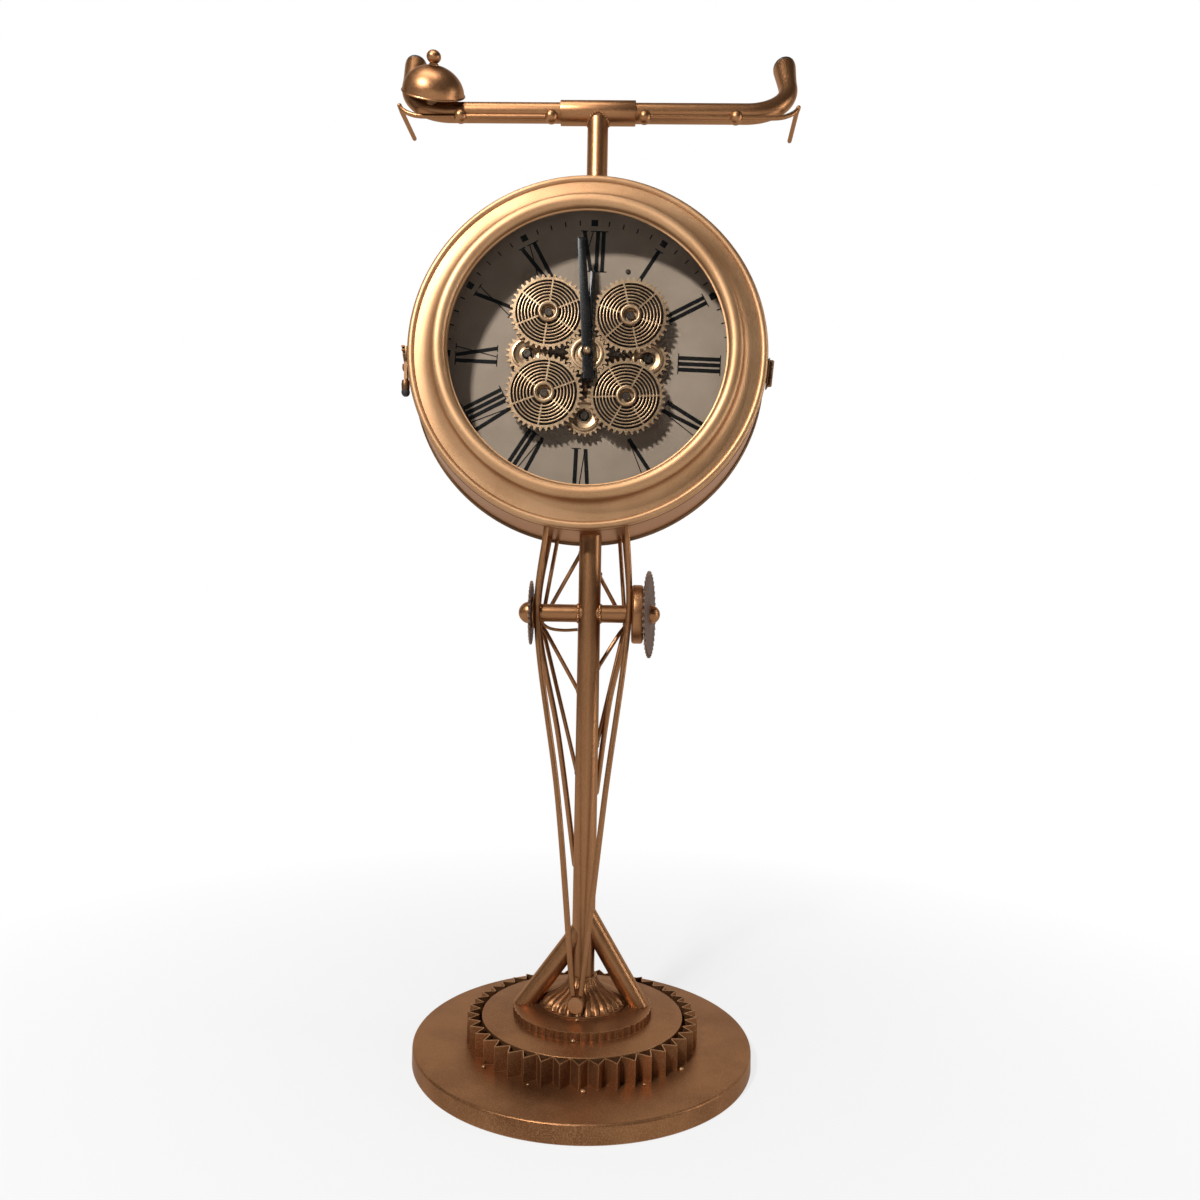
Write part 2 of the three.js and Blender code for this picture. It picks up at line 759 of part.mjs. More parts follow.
// The door ring: outer skin from the flange round the rolled edge, cove, bead and glass rebate.
function makeDoor() {
  const front = -seam - doorFlange;
  const roll = arc(doorRadius - doorRoll, front, doorRoll, -doorRoll, 0, (5 * Math.PI) / 6, 3);
  const rollEnd = roll[roll.length - 1];
  const beadBase = -seam - beadForward;
  const cove = coveFrom(rollEnd, [beadOuter, beadBase]);
  const beadMiddle = (beadOuter + beadInner) / 2;
  const beadHalf = (beadOuter - beadInner) / 2;
  const bead = arc(beadMiddle, beadBase, beadHalf, -beadRise, 0, Math.PI, 4);
  const glassFront = -seam - beadForward - beadRise + glassSetback;
  const rebate = glassFront + glassThickness + snug;
  const pocket = glassRadius + snug;
  const coveBack = cove.slice(1, 2).map(([radius, y]) => [radius, y + doorWall]);
  const profile = [
    [doorRadius, -seam],
    ...roll,
    ...cove.slice(1, -1),
    ...bead,
    [glassSight, glassFront - doorWall / 2],
    [glassSight, glassFront - snug],
    [pocket, glassFront - snug],
    [pocket, rebate],
    [beadOuter - doorWall, rebate],
    ...coveBack,
    [doorRadius - doorWall / 2, front + doorWall],
    [doorRadius - doorWall / 2, -seam],
    [doorRadius, -seam],
  ];
  piece("door_ring", turned(profile, "y", caseFacets), gold, caseGroup);
  const glass = disc(glassRadius, glassFront, glassFront + glassThickness, "y", caseFacets);
  piece("door_glass", glass, clear, caseGroup);
}

// The hollow curve between the rolled edge and the bead, as points of a quadratic curve.
function coveFrom(start, end) {
  const control = new THREE.Vector2(
    end[0] + (start[0] - end[0]) * coveFloorShare,
    start[1] + (end[1] - start[1]) * coveFloorShare,
  );
  const curve = new THREE.QuadraticBezierCurve(
    new THREE.Vector2(...start), control, new THREE.Vector2(...end),
  );
  return curve.getPoints(3).map((point) => [point.x, point.y]);
}

// The hinge stands upright in its own group, which is swung down round the case. The pin and
// the two outer knuckles belong to the case's leaf, the middle knuckle to the door's.
function makeHinge() {
  const hinge = new THREE.Group();
  hinge.rotation.y = hingeDrop;
  caseGroup.add(hinge);
  const axisX = caseFrontRadius + hingeStandoff;
  const half = knuckleLength / 2;
  const outerEnd = half + snug + knuckleLength;
  const leafX = axisX - knuckleRadius + leafOffset;
  const behind = -seam + knuckleRadius + snug;
  const knuckles = [-1, 1].flatMap((sign) => {
    const [low, high] = sign < 0 ? [-outerEnd, -half - snug] : [half + snug, outerEnd];
    const neck = block([leafX, -seam, low], [leafX + leafThickness, behind + snug, high]);
    const knuckle = disc(knuckleRadius, low, high, "z", smallFacets);
    return [placed(knuckle, { at: [axisX, -seam, 0] }), neck];
  });
  const casePlate = block(
    [leafX, behind, -outerEnd],
    [leafX + leafThickness, behind + leafDepth, outerEnd],
  );
  const pin = placed(disc(pinRadius, -outerEnd, outerEnd, "z", smallFacets), { at: [axisX, -seam, 0] });
  piece("hinge_leaf_case", joined(casePlate, pin, ...knuckles), darkBronze, hinge);
  const ahead = -seam - knuckleRadius - snug;
  const doorLeafX = doorRadius + snug;
  const doorPlate = block(
    [doorLeafX, -seam - doorFlange, -outerEnd],
    [doorLeafX + leafThickness, ahead, outerEnd],
  );
  const doorNeck = block(
    [doorLeafX, ahead - snug, -half],
    [axisX, -seam - pinRadius - snug, half],
  );
  const sleeve = ring(pinRadius + snug, knuckleRadius, -half, half, "z", smallFacets);
  const doorKnuckle = placed(sleeve, { at: [axisX, -seam, 0] });
  piece("hinge_leaf_door", joined(doorPlate, doorNeck, doorKnuckle), darkBronze, hinge);
}

// The latch: a lever that swings on a pad on the case. Its upper end closes over a peg on the
// door's edge, and swings back from it when the lower end is pulled forward.
function makeLatch() {
  const latch = new THREE.Group();
  latch.rotation.y = latchDrop;
  caseGroup.add(latch);
  const pivotY = -seam + latchPivotBack;
  const leverIn = caseRadiusAt(pivotY) + latchPadRise + snug;
  const leverOut = leverIn + leverThickness;
  const unturned = placed(caseEnvelope(snug), { at: [-caseOffset, 0, -caseHeight] });
  const wall = placed(unturned, { turn: [0, -latchDrop, 0] });
  const pad = joined(
    disc(latchPadRadius, -leverIn + snug, -caseFrontRadius + caseWall, "x", smallFacets),
    disc(latchPinRadius, -leverOut - snug, -caseFrontRadius, "x", smallFacets),
    disc(latchHeadRadius, -leverOut - snug - latchHeadThickness, -leverOut - snug, "x", smallFacets),
  );
  const padPlaced = placed(pad, { at: [0, pivotY, -latchPivotDrop] });
  piece("latch_pad", padPlaced.subtract(wall), darkBronze, latch);
  const lever = new THREE.Group();
  lever.position.set(-leverOut, pivotY, -latchPivotDrop);
  latch.add(lever);
  const slot = leverSlot();
  const reachY = -(latchPivotBack + doorFlange / 2);
  const top = leverReach;
  const half = leverWidth / 2;
  const outline = [
    [half, -leverTail],
    [half, top / 2],
    [half + reachY * 0.9, top + half],
    [reachY - half, top + half],
    [reachY - half, top + keeperPegRadius + running],
    [reachY + keeperPegRadius + running, top + keeperPegRadius + running],
    [reachY + keeperPegRadius + running, top - half],
    [-half, top / 3],
    [-half, -leverTail],
  ];
  const body = sidePlate(outline, leverThickness, slot);
  const hole = disc(latchPinRadius + running, -overrun, leverThickness + overrun, "x", smallFacets);
  const handle = block(
    [-(handleThickness - leverThickness), -handleWidth / 2, -leverTail - handleLength],
    [leverThickness, handleWidth / 2, -leverTail + snug],
  );
  piece("latch_lever", joined(body, handle).subtract(hole), darkBronze, lever);
  const tipTop = -leverTail - handleLength - snug;
  const tip = turned([[0, 0], [handleWidth / 2, 0], [handleWidth / 2, -tipLength / 2], [handleWidth / 4, -tipLength], [0, -tipLength]], "z", smallFacets);
  piece("latch_tip", tip, black, lever).position.set((leverThickness * 2 - handleThickness) / 2, 0, tipTop);
  const keeperY = -seam - doorFlange / 2;
  const keeperZ = top - latchPivotDrop;
  const keeper = joined(
    block(
      [-leverIn + snug, keeperY - keeperWidth / 2, keeperZ - keeperHeight],
      [-doorRadius + doorRoll, keeperY + keeperWidth / 2 - snug, keeperZ + keeperWidth / 2],
    ),
    placed(disc(keeperPegRadius, -leverOut - snug, -doorRadius, "x", smallFacets), {
      at: [0, keeperY, keeperZ],
    }),
  );
  const doorEdge = disc(doorRadius + snug, -seam - doorFlange - overrun, -seam + snug, "y", caseFacets);
  const swungEdge = placed(doorEdge, { turn: [0, -latchDrop, 0] });
  piece("latch_keeper", keeper.subtract(swungEdge), darkBronze, latch);
}

// A plate in the plane of depth and height, from [y, z] pairs, thick towards +X.
function sidePlate(outline, thickness, hole) {
  const points = outline.map(([y, z]) => new THREE.Vector2(-z, y));
  const holes = hole ? [hole.map(([y, z]) => new THREE.Vector2(-z, y))] : [];
  return plate(points, thickness, "right", holes);
}

function leverSlot() {
  const half = leverWidth / 5;
  return [
    [-half, -leverTail / 4 - leverWidth / 2],
    [half, -leverTail / 4 - leverWidth / 2],
    [half, -leverTail + half * 2],
    [-half, -leverTail + half * 2],
  ];
}

// Layers of the train, measured forward from the pole's axis.
const bridgeBack = dialFace + snug;
const bridgeFront = bridgeBack + bridgeSheet;
const pinionBack = bridgeFront + pinionStandoff;
const pinionFront = pinionBack + pinionThickness;
const wheelBack = pinionFront + wheelStandoff;
const wheelFront = wheelBack + wheelThickness;

// Modules follow from the distances between the arbors.
const wheelDistance = wheelReach * Math.SQRT2;
const wheelModule = (2 * wheelDistance) / (wheelTeeth + centerTeeth);
const idlerDistance = Math.hypot(idlerReach - wheelReach, wheelReach);
const idlerModule = (2 * idlerDistance) / (pinionTeeth + idlerTeeth);

// A gear's outline: pointed teeth, each centred on phase + a whole number of pitches.
function gearOutline(teeth, module, phase) {
  const pitchRadius = (teeth * module) / 2;
  return star(teeth, pitchRadius + addendumShare * module, pitchRadius - dedendumShare * module, phase);
}

// The phase that a gear needs to mesh with its driver, which lies in the given direction.
function meshPhase(teeth, driverTeeth, driverPhase, direction) {
  return direction + Math.PI - (Math.PI - driverTeeth * (direction - driverPhase)) / teeth;
}

// Ring-shaped slots between ribs and spokes, as holes of a wheel's outline.
function filigreeSlots(turn) {
  const holes = [];
  const band = (filigreeRadius - bossOuter) / filigreeRings;
  for (let row = 0; row < filigreeRings; row++) {
    const inner = bossOuter + row * band + filigreeRib / 2;
    const outer = bossOuter + (row + 1) * band - filigreeRib / 2;
    const stagger = row % 2 ? Math.PI / filigreeSectors : 0;
    for (let sector = 0; sector < filigreeSectors; sector++) {
      const from = turn + stagger + (2 * Math.PI * sector) / filigreeSectors;
      const to = from + (2 * Math.PI) / filigreeSectors;
      holes.push(slotBetween(inner, outer, from, to));
    }
  }
  return holes;
}

function slotBetween(inner, outer, from, to) {
  const points = [];
  for (const [radius, way] of [[inner, 1], [outer, -1]]) {
    const trim = filigreeSpoke / 2 / radius;
    for (let i = 0; i <= slotSteps; i++) {
      const share = way > 0 ? i / slotSteps : 1 - i / slotSteps;
      points.push(pointAt(radius, from + trim + (to - from - 2 * trim) * share));
    }
  }
  return points;
}

// A pierced wheel with its boss and, behind it, the pinion on the same sleeve.
function makeWheel(name, x, z, phase, pinionPhase) {
  const outline = gearOutline(wheelTeeth, wheelModule, phase);
  const face = plate(outline, wheelThickness, "viewer", filigreeSlots(phase));
  const pinion = placed(
    plate(gearOutline(pinionTeeth, idlerModule, pinionPhase), pinionThickness, "viewer"),
    { at: [0, wheelBack - pinionBack, 0] },
  );
  const sleeveBack = wheelBack - bridgeFront - pinionStandoff / 2 - running;
  const sleeve = disc(hubRodRadius, -wheelThickness / 2, sleeveBack, "y", smallFacets);
  const boss = disc(bossOuter, -wheelThickness - bossRise, -wheelThickness / 2, "y", tubeFacets);
  const recess = disc(bossInner, -wheelThickness - bossRise - overrun, -wheelThickness + bossRecess, "y", smallFacets);
  const bore = disc(boreRadius, -wheelThickness - overrun, sleeveBack + overrun, "y", smallFacets);
  const body = joined(face, boss, sleeve, pinion).subtract(recess).subtract(bore);
  piece(name, body, gold, trainGroup).position.set(x, -wheelBack, z);
}

// A small wheel with a dished face on the rear layer.
function makeIdler(name, x, z, phase) {
  const blank = plate(gearOutline(idlerTeeth, idlerModule, phase), pinionThickness, "viewer");
  const front = -pinionThickness;
  const dish = ring(idlerDishInner, idlerDishOuter, front - idlerDishRise, front / 2, "y", tubeFacets);
  const sleeve = disc(shoulderRadius, front / 2, pinionStandoff / 2 - running, "y", smallFacets);
  const bore = disc(boreRadius, front - overrun, pinionStandoff + overrun, "y", smallFacets);
  piece(name, joined(blank, dish, sleeve).subtract(bore), gold, trainGroup).position.set(x, -pinionBack, z);
}

function makeCenterWheel(phase) {
  const blank = plate(gearOutline(centerTeeth, wheelModule, phase), wheelThickness, "viewer");
  const front = -wheelThickness;
  const rim = ring(bossOuter * 1.5, bossOuter * 1.8, front - centerRingRise, front / 2, "y", tubeFacets);
  const boss = disc(bossOuter, front - centerRingRise / 2, front / 2, "y", tubeFacets);
  const bore = disc(spindleRadius + running, -spindleReach, spindleReach, "y", smallFacets);
  piece("center_wheel", joined(blank, rim, boss).subtract(bore), gold, trainGroup).position.y = -wheelBack;
}

// Each arbor's place in the train, as [x, z, is it a pierced wheel].
const arbors = [
  [-wheelReach, wheelReach, true],
  [wheelReach, wheelReach, true],
  [-wheelReach, -wheelReach, true],
  [wheelReach, -wheelReach, true],
  [-idlerReach, 0, false],
  [idlerReach, 0, false],
  [0, -idlerReach, false],
];

// A fixed post with a shoulder behind its wheel and a screw head in front of it.
function post([x, z, pierced]) {
  const seat = pierced ? wheelFront - bossRecess : pinionFront;
  const head = seat + running;
  const shoulder = bridgeFront + (pinionStandoff - running) / 2;
  const profile = [
    [0, -head - postHeadThickness],
    [postHeadRadius, -head - postHeadThickness],
    [postHeadRadius, -head],
    [postRadius, -head],
    [postRadius, -shoulder],
    [shoulderRadius, -shoulder],
    [shoulderRadius, -bridgeBack],
    [0, -bridgeBack],
  ];
  return placed(turned(profile, "y", smallFacets), { at: [x, 0, z] });
}

// The bridge: a flat spider on the dial whose arms carry the posts.
function makeBridge() {
  const centerBoss = disc(bossOuter, -wheelBack + running, -bridgeBack, "y", tubeFacets);
  const arms = arbors.map(([x, z]) => {
    const length = Math.hypot(x, z);
    const arm = block([0, -bridgeFront, -bridgeArm / 2], [length, -bridgeBack, bridgeArm / 2]);
    return placed(arm, { turn: [0, -Math.atan2(z, x), 0] });
  });
  const bore = disc(spindleRadius + snug, -wheelFront - overrun, 0, "y", tubeFacets);
  const spider = joined(centerBoss, ...arms, ...arbors.map(post)).subtract(bore);
  piece("train_bridge", spider, darkBronze, trainGroup);
}

// The movement: a closed box behind the dial with a hollow threaded spindle through it.
function makeMovement() {
  const back = -dialFace + dialSheet + snug;
  const half = movementSize / 2;
  const nutBack = wheelFront + running + centerRingRise / 2;
  const body = joined(
    block([-half, back, -half], [half, back + movementDepth, half]),
    disc(spindleRadius, -spindleReach, back + overrun, "y", smallFacets),
    disc(spindleNutRadius, -nutBack - spindleNutThickness, -nutBack, "y", rodFacets),
  );
  const bore = disc(spindleBore, -spindleReach - overrun, back - dialSheet, "y", smallFacets);
  piece("movement", body.subtract(bore), black, trainGroup);
}

function makeTrain() {
  const centerPhase = Math.PI / 2;
  makeCenterWheel(centerPhase);
  const directions = [0.75, 0.25, 1.25, 1.75].map((turns) => turns * Math.PI);
  const names = ["upper_left", "upper_right", "lower_left", "lower_right"];
  const rearPhases = rearTrainPhases();
  names.forEach((name, i) => {
    const [x, z] = arbors[i];
    const phase = meshPhase(wheelTeeth, centerTeeth, centerPhase, directions[i]);
    makeWheel("wheel_" + name, x, z, phase, rearPhases[name]);
  });
  makeIdler("idler_left", -idlerReach, 0, rearPhases.left);
  makeIdler("idler_right", idlerReach, 0, rearPhases.right);
  makeIdler("idler_lower", 0, -idlerReach, rearPhases.lower);
}

// Walks round the rear train, from the upper left pinion to the upper right one.
function rearTrainPhases() {
  const walk = [
    ["left", idlerTeeth, "upper_left", pinionTeeth, [-wheelReach, wheelReach], [-idlerReach, 0]],
    ["lower_left", pinionTeeth, "left", idlerTeeth, [-idlerReach, 0], [-wheelReach, -wheelReach]],
    ["lower", idlerTeeth, "lower_left", pinionTeeth, [-wheelReach, -wheelReach], [0, -idlerReach]],
    ["lower_right", pinionTeeth, "lower", idlerTeeth, [0, -idlerReach], [wheelReach, -wheelReach]],
    ["right", idlerTeeth, "lower_right", pinionTeeth, [wheelReach, -wheelReach], [idlerReach, 0]],
    ["upper_right", pinionTeeth, "right", idlerTeeth, [idlerReach, 0], [wheelReach, wheelReach]],
  ];
  const phases = { upper_left: 0 };
  for (const [name, teeth, driver, driverTeeth, from, to] of walk) {
    const direction = Math.atan2(to[1] - from[1], to[0] - from[0]);
    phases[name] = meshPhase(teeth, driverTeeth, phases[driver], direction);
  }
  return phases;
}

// A tapered baton hand with a round eye, pointing up.
function handPlate(length, tail, tipWidth, tailWidth, eye) {
  const baton = plate(
    [
      new THREE.Vector2(-tailWidth / 2, -tail),
      new THREE.Vector2(tailWidth / 2, -tail),
      new THREE.Vector2(tipWidth / 2, length),
      new THREE.Vector2(-tipWidth / 2, length),
    ],
    handSheet,
    "viewer",
  );
  return joined(baton, disc(eye, -handSheet, 0, "y", smallFacets));
}

function makeHands() {
  const hourEnd = hourBack - spindleReach + tubeInsert;
  const hourTube = disc(hourTubeRadius, -handSheet / 2, hourEnd, "y", smallFacets);
  const hourBore = disc(hourTubeBore, -overrun, hourEnd + overrun, "y", smallFacets);
  const hour = joined(handPlate(hourLength, hourTail, hourTipWidth, hourTailWidth, hourTailWidth / 2), hourTube);
  const hourMesh = piece("hour_hand", hour.subtract(hourBore), black, caseGroup);
  hourMesh.position.y = -hourBack;
  hourMesh.rotation.y = hourAngle;
  const arborEnd = minuteBack - spindleReach + tubeInsert;
  const arbor = disc(arborRadius, -handSheet / 2, arborEnd, "y", smallFacets);
  const minute = joined(
    handPlate(minuteLength, minuteTail, minuteTipWidth, minuteTailWidth, minuteTailWidth / 2),
    arbor,
  );
  const minuteMesh = piece("minute_hand", minute, black, caseGroup);
  minuteMesh.position.y = -minuteBack;
  minuteMesh.rotation.y = minuteAngle;
  const dome = arc(0, 0, handNutRadius, -handNutRise, 0, Math.PI / 2, 3);
  const nut = turned([[0, 0], ...dome], "y", smallFacets);
  const nutMesh = piece("hand_nut", nut, gold, caseGroup);
  nutMesh.position.y = -minuteBack - handSheet - snug;
}

// The bar's centre line on the right-hand side: straight, a quarter bend, straight.
class BarLine extends THREE.Curve {
  constructor(end) {
    super();
    this.bendLength = (Math.PI / 2) * barBend;
    this.halfLength = barStraight + this.bendLength + end;
  }
  getPoint(t, target = new THREE.Vector3()) {
    const signed = (t * 2 - 1) * this.halfLength;
    return barPoint(Math.abs(signed), Math.sign(signed), target);
  }
}

// A point of the bar's centre line, a distance from its middle, on the side of the given sign.
function barPoint(distance, sign, target = new THREE.Vector3()) {
  const straight = Math.min(distance, barStraight);
  const bend = Math.min(Math.max(distance - barStraight, 0), (Math.PI / 2) * barBend);
  const rest = distance - straight - bend;
  const angle = bend / barBend;
  const out = straight + barBend * Math.sin(angle);
  const up = barBend * (1 - Math.cos(angle)) + rest;
  return target.set(sign * out, up * Math.cos(barRise), barHeight + up * Math.sin(barRise));
}

function barSpace(clearance) {
  return bentBar(new BarLine(barEnd), barRadius + clearance, barSteps, barFacets);
}

function makeHandlebar() {
  const endDistance = barStraight + (Math.PI / 2) * barBend + barEnd;
  const lean = [barRise - Math.PI / 2, 0, 0];
  const grips = [-1, 1].map((sign) => {
    const at = barPoint(endDistance - gripLength, sign).toArray();
    return placed(disc(gripRadius, 0, gripLength, "z", tubeFacets), { at, turn: lean });
  });
  piece("handlebar", joined(barSpace(0), ...grips), copper);
  const sleeve = placed(
    disc(clampRadius, -clampLength / 2, clampLength / 2, "x", tubeFacets),
    { at: [0, 0, barHeight] },
  );
  piece("bar_clamp", sleeve.subtract(barSpace(snug)), copper);
  const sleeveSpace = placed(
    disc(clampRadius + snug, -clampLength / 2, clampLength / 2, "x", tubeFacets),
    { at: [0, 0, barHeight] },
  );
  const stem = disc(stemRadius, caseHeight, barHeight, "z", tubeFacets);
  piece("stem", stem.subtract(sleeveSpace).subtract(caseEnvelope(snug)), copper);
  for (const [word, sign] of [["left", -1], ["right", 1]]) {
    const dome = arc(0, plugRim, plugRadius, plugRise - plugRim, 0, Math.PI / 2, 3);
    const profile = [[0, 0], [plugRadius, 0], ...dome];
    const plug = piece("grip_plug_" + word, turned(profile, "z", tubeFacets), black);
    plug.position.set(...barPoint(endDistance + snug, sign).toArray());
    plug.rotation.set(...lean);
  }
}

function makeBrakeRods() {
  const forward = -brakeBallForward;
  const level = barHeight - brakeBallDrop;
  const hookZ = barHeight + brakeHookRise;
  for (const [word, sign] of [["left", -1], ["right", 1]]) {
    const rod = bentBar(
      [
        [sign * brakeInnerReach, forward, level],
        [sign * brakeOuterReach, forward, level],
        [sign * (brakeHookReach - brakeHookRadius), forward, level],
        [sign * (brakeHookReach - brakeHookRadius / 3), forward, (3 * level + hookZ) / 4],
        [sign * brakeHookReach, -brakeLeverForward, hookZ],
      ],
      brakeRodRadius,
      brakeSteps,
    );
    const lever = bar(
      [sign * brakeHookReach, -brakeLeverForward - brakeRodRadius, hookZ],
      [sign * brakeHookReach, brakeLeverBack, hookZ],
      brakeRodRadius,
      rodFacets,
    );
    const balls = [brakeInnerReach, brakeOuterReach].map((reach) => {
      const ball = new THREE.SphereGeometry(brakeBallRadius, smallFacets, smallFacets / 2);
      ball.translate(sign * reach, forward, level);
      return solidFrom(ball);
    });
    piece("brake_rod_" + word, joined(rod, lever, ...balls).subtract(barSpace(snug)), copper);
  }
}

// The bell stands square to the bar where it bends, and leans forward.
function makeBell() {
  const seat = barPoint(barStraight + barBend * bellArc, -1);
  const along = new THREE.Vector3(
    Math.cos(bellArc),
    -Math.sin(bellArc) * Math.cos(barRise),
    -Math.sin(bellArc) * Math.sin(barRise),
  );
  const lean = new THREE.Vector3(0, -Math.sin(bellForward), Math.cos(bellForward));
  const up = lean.addScaledVector(along, -lean.dot(along)).normalize();
  const across = new THREE.Vector3().crossVectors(up, along);
  const bell = new THREE.Group();
  bell.position.copy(seat);
  bell.quaternion.setFromRotationMatrix(new THREE.Matrix4().makeBasis(along, across, up));
  clock.add(bell);
  const rim = bellStandoff;
  const outerDome = arc(0, rim, bellRadius, bellHeight, 0, Math.PI / 2, 4);
  const crown = rim + bellHeight;
  const innerDome = arc(0, rim, bellRadius - bellWall, bellHeight - bellWall, 0, Math.PI / 2, 3);
  const profile = [
    ...innerDome.slice(0, -1).reverse(),
    [bellRadius + bellLip, rim],
    [bellRadius + bellLip, rim + bellLip],
    ...outerDome.slice(1, -1),
    [bellBoltRadius, crown],
    [bellBoltRadius, crown - bellWall],
  ];
  profile.push(profile[0]);
  piece("bell_dome", turned(profile, "z"), copper, bell);
  bell.updateMatrix();
  const intoBell = bell.matrix.clone().invert();
  const barHere = solidFrom(geometryFrom(barSpace(snug)).applyMatrix4(intoBell));
  const bolt = disc(bellBoltRadius - snug, 0, crown + snug, "z", smallFacets);
  const collar = disc(bellNeckRadius * 2, 0, rim, "z", smallFacets);
  piece("bell_bolt", joined(bolt, collar).subtract(barHere), darkBronze, bell);
  const neckBase = crown + snug * 2;
  const neck = disc(bellNeckRadius, neckBase, neckBase + bellNeckHeight, "z", smallFacets);
  const ball = new THREE.SphereGeometry(bellKnobRadius, turnedFacets / 2, smallFacets / 2);
  ball.rotateX(Math.PI / 2);
  ball.scale(1, 1, bellKnobHalfHeight / bellKnobRadius);
  ball.translate(0, 0, neckBase + bellNeckHeight / 2 + bellKnobHalfHeight);
  piece("bell_knob", joined(neck, solidFrom(ball)), copper, bell);
}

makeBase();
makeGearFoot();
makeRosette();
makePoleAndLegs();
makeCrossTube();
makeLeftEnd();
makeRightEnd();
makeBraceRods();
makeCase();
makeDoor();
makeHinge();
makeLatch();
makeMovement();
makeBridge();
makeTrain();
makeHands();
makeHandlebar();
makeBrakeRods();
makeBell();

export default clock;
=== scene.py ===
# %% [markdown]
# # A floor clock with a handlebar top
# This lesson dresses the imported model of a tall floor clock. The model's solids say where every
# piece is. Here each one gets a rounder shape, a worn metallic paint with some painted highlight,
# and the small things that solids leave out, such as numerals, weld beads and screws. Sizes of the
# pieces are millimetres, and are turned into metres once, when a piece is finished. Places in the
# studio are metres.

# %% Load the model
from math import atan2, copysign, cos, hypot, pi, radians, sin, sqrt

import bmesh
import bpy
from mathutils import Euler, Matrix, Vector


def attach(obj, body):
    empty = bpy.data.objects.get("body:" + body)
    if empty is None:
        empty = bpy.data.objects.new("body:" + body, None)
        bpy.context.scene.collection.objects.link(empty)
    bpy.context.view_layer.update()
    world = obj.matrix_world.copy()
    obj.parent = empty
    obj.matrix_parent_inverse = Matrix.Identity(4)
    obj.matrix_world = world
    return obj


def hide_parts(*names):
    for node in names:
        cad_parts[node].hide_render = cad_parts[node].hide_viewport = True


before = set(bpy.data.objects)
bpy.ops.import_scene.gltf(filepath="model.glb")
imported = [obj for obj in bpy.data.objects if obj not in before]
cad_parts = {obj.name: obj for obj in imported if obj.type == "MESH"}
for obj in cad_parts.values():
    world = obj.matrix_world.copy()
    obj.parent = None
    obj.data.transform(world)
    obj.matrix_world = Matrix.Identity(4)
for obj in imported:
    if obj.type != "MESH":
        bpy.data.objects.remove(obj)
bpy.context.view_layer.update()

MM = 0.001

# %% [markdown]
# ## Helpers that turn a bmesh into a finished piece
# Every piece ends the same way: it is scaled to metres, its doubles are merged, its faces are
# turned outwards, and sharp edges are marked so that the rest shades smoothly. It then rides on
# a body of the model, takes its finish, and hides the solids that it stands for. One function
# does all this, because a piece that misses one of these steps is hard to notice until it moves.


def object_of(name, data):
    """An object of a mesh, a lamp or a camera, linked to the scene."""
    made = bpy.data.objects.new(name, data)
    bpy.context.scene.collection.objects.link(made)
    return made


def mesh_object(name, bm):
    """An object of the bmesh, which is freed."""
    mesh = bpy.data.meshes.new(name)
    bm.to_mesh(mesh)
    bm.free()
    return object_of(name, mesh)


def finish_piece(bm, name, finish, body, nodes=(), sharp=32, place=None):
    """Makes an object of the bmesh, in metres, that rides on a body and replaces nodes."""
    if place is not None:
        bmesh.ops.transform(bm, matrix=place, verts=bm.verts)
    bmesh.ops.scale(bm, vec=(MM, MM, MM), verts=bm.verts)
    bmesh.ops.remove_doubles(bm, verts=bm.verts, dist=2e-6)
    bmesh.ops.recalc_face_normals(bm, faces=bm.faces)
    limit = radians(sharp)
    for edge in bm.edges:
        edge.smooth = edge.calc_face_angle(0.0) < limit
    for face in bm.faces:
        face.smooth = True
    piece = mesh_object(name, bm)
    piece.data.materials.append(finish)
    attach(piece, body)
    if nodes:
        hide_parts(*nodes)


# %% [markdown]
# ## Shapes that most pieces share
# Metal clocks are made of turned, bent and stamped parts, so a few helpers cover nearly all of
# them. `turned` spins a profile, as a lathe or a metal spinner does, and `spun` makes a piece
# that needs nothing else. `rod` is a straight bar between two points, `bent` pushes a round
# section along a path, `slab` cuts a flat outline out of sheet, and `block` is an upright box.

# %% Turned shapes
# for each axis, the way along it and the way that a profile's radius points
AXES = {"z": ((0, 0, 1), (1, 0, 0)), "y": ((0, 1, 0), (1, 0, 0)), "x": ((1, 0, 0), (0, 1, 0))}


def turned(bm, profile, axis="z", steps=96, at=(0, 0, 0)):
    """Spins a profile of (radius, place along the axis) pairs round the axis."""
    along, across = (Vector(way) for way in AXES[axis])
    centre = Vector(at)
    verts = [bm.verts.new(centre + across * r + along * a) for r, a in profile]
    edges = [bm.edges.new(pair) for pair in zip(verts, verts[1:])]
    if profile[0][0] > 1e-6 or profile[-1][0] > 1e-6:
        edges.append(bm.edges.new((verts[-1], verts[0])))
    bmesh.ops.spin(
        bm, geom=verts + edges, cent=centre, axis=along, dvec=(0, 0, 0),
        angle=2 * pi, steps=steps, use_merge=True,
    )
    bmesh.ops.remove_doubles(bm, verts=bm.verts, dist=1e-4)


def spun(name, finish, body, nodes, profile, axis="z", steps=96, at=(0, 0, 0), **how):
    """A piece that is one turned shape."""
    bm = bmesh.new()
    turned(bm, profile, axis, steps, at)
    finish_piece(bm, name, finish, body, nodes, **how)


def arc(across, along, radius, start, end, steps):
    """Points of a circular arc in a profile, in degrees, for rounded corners."""
    points = []
    for i in range(steps + 1):
        angle = radians(start + (end - start) * i / steps)
        points.append((across + radius * cos(angle), along + radius * sin(angle)))
    return points


def disc_profile(radius, low, high, r):
    """A solid disc's profile with both rims rounded over by a radius r."""
    return [(0, low), *arc(radius - r, low + r, r, -90, 0, 3), *arc(radius - r, high - r, r, 0, 90, 3),
            (0, high)]


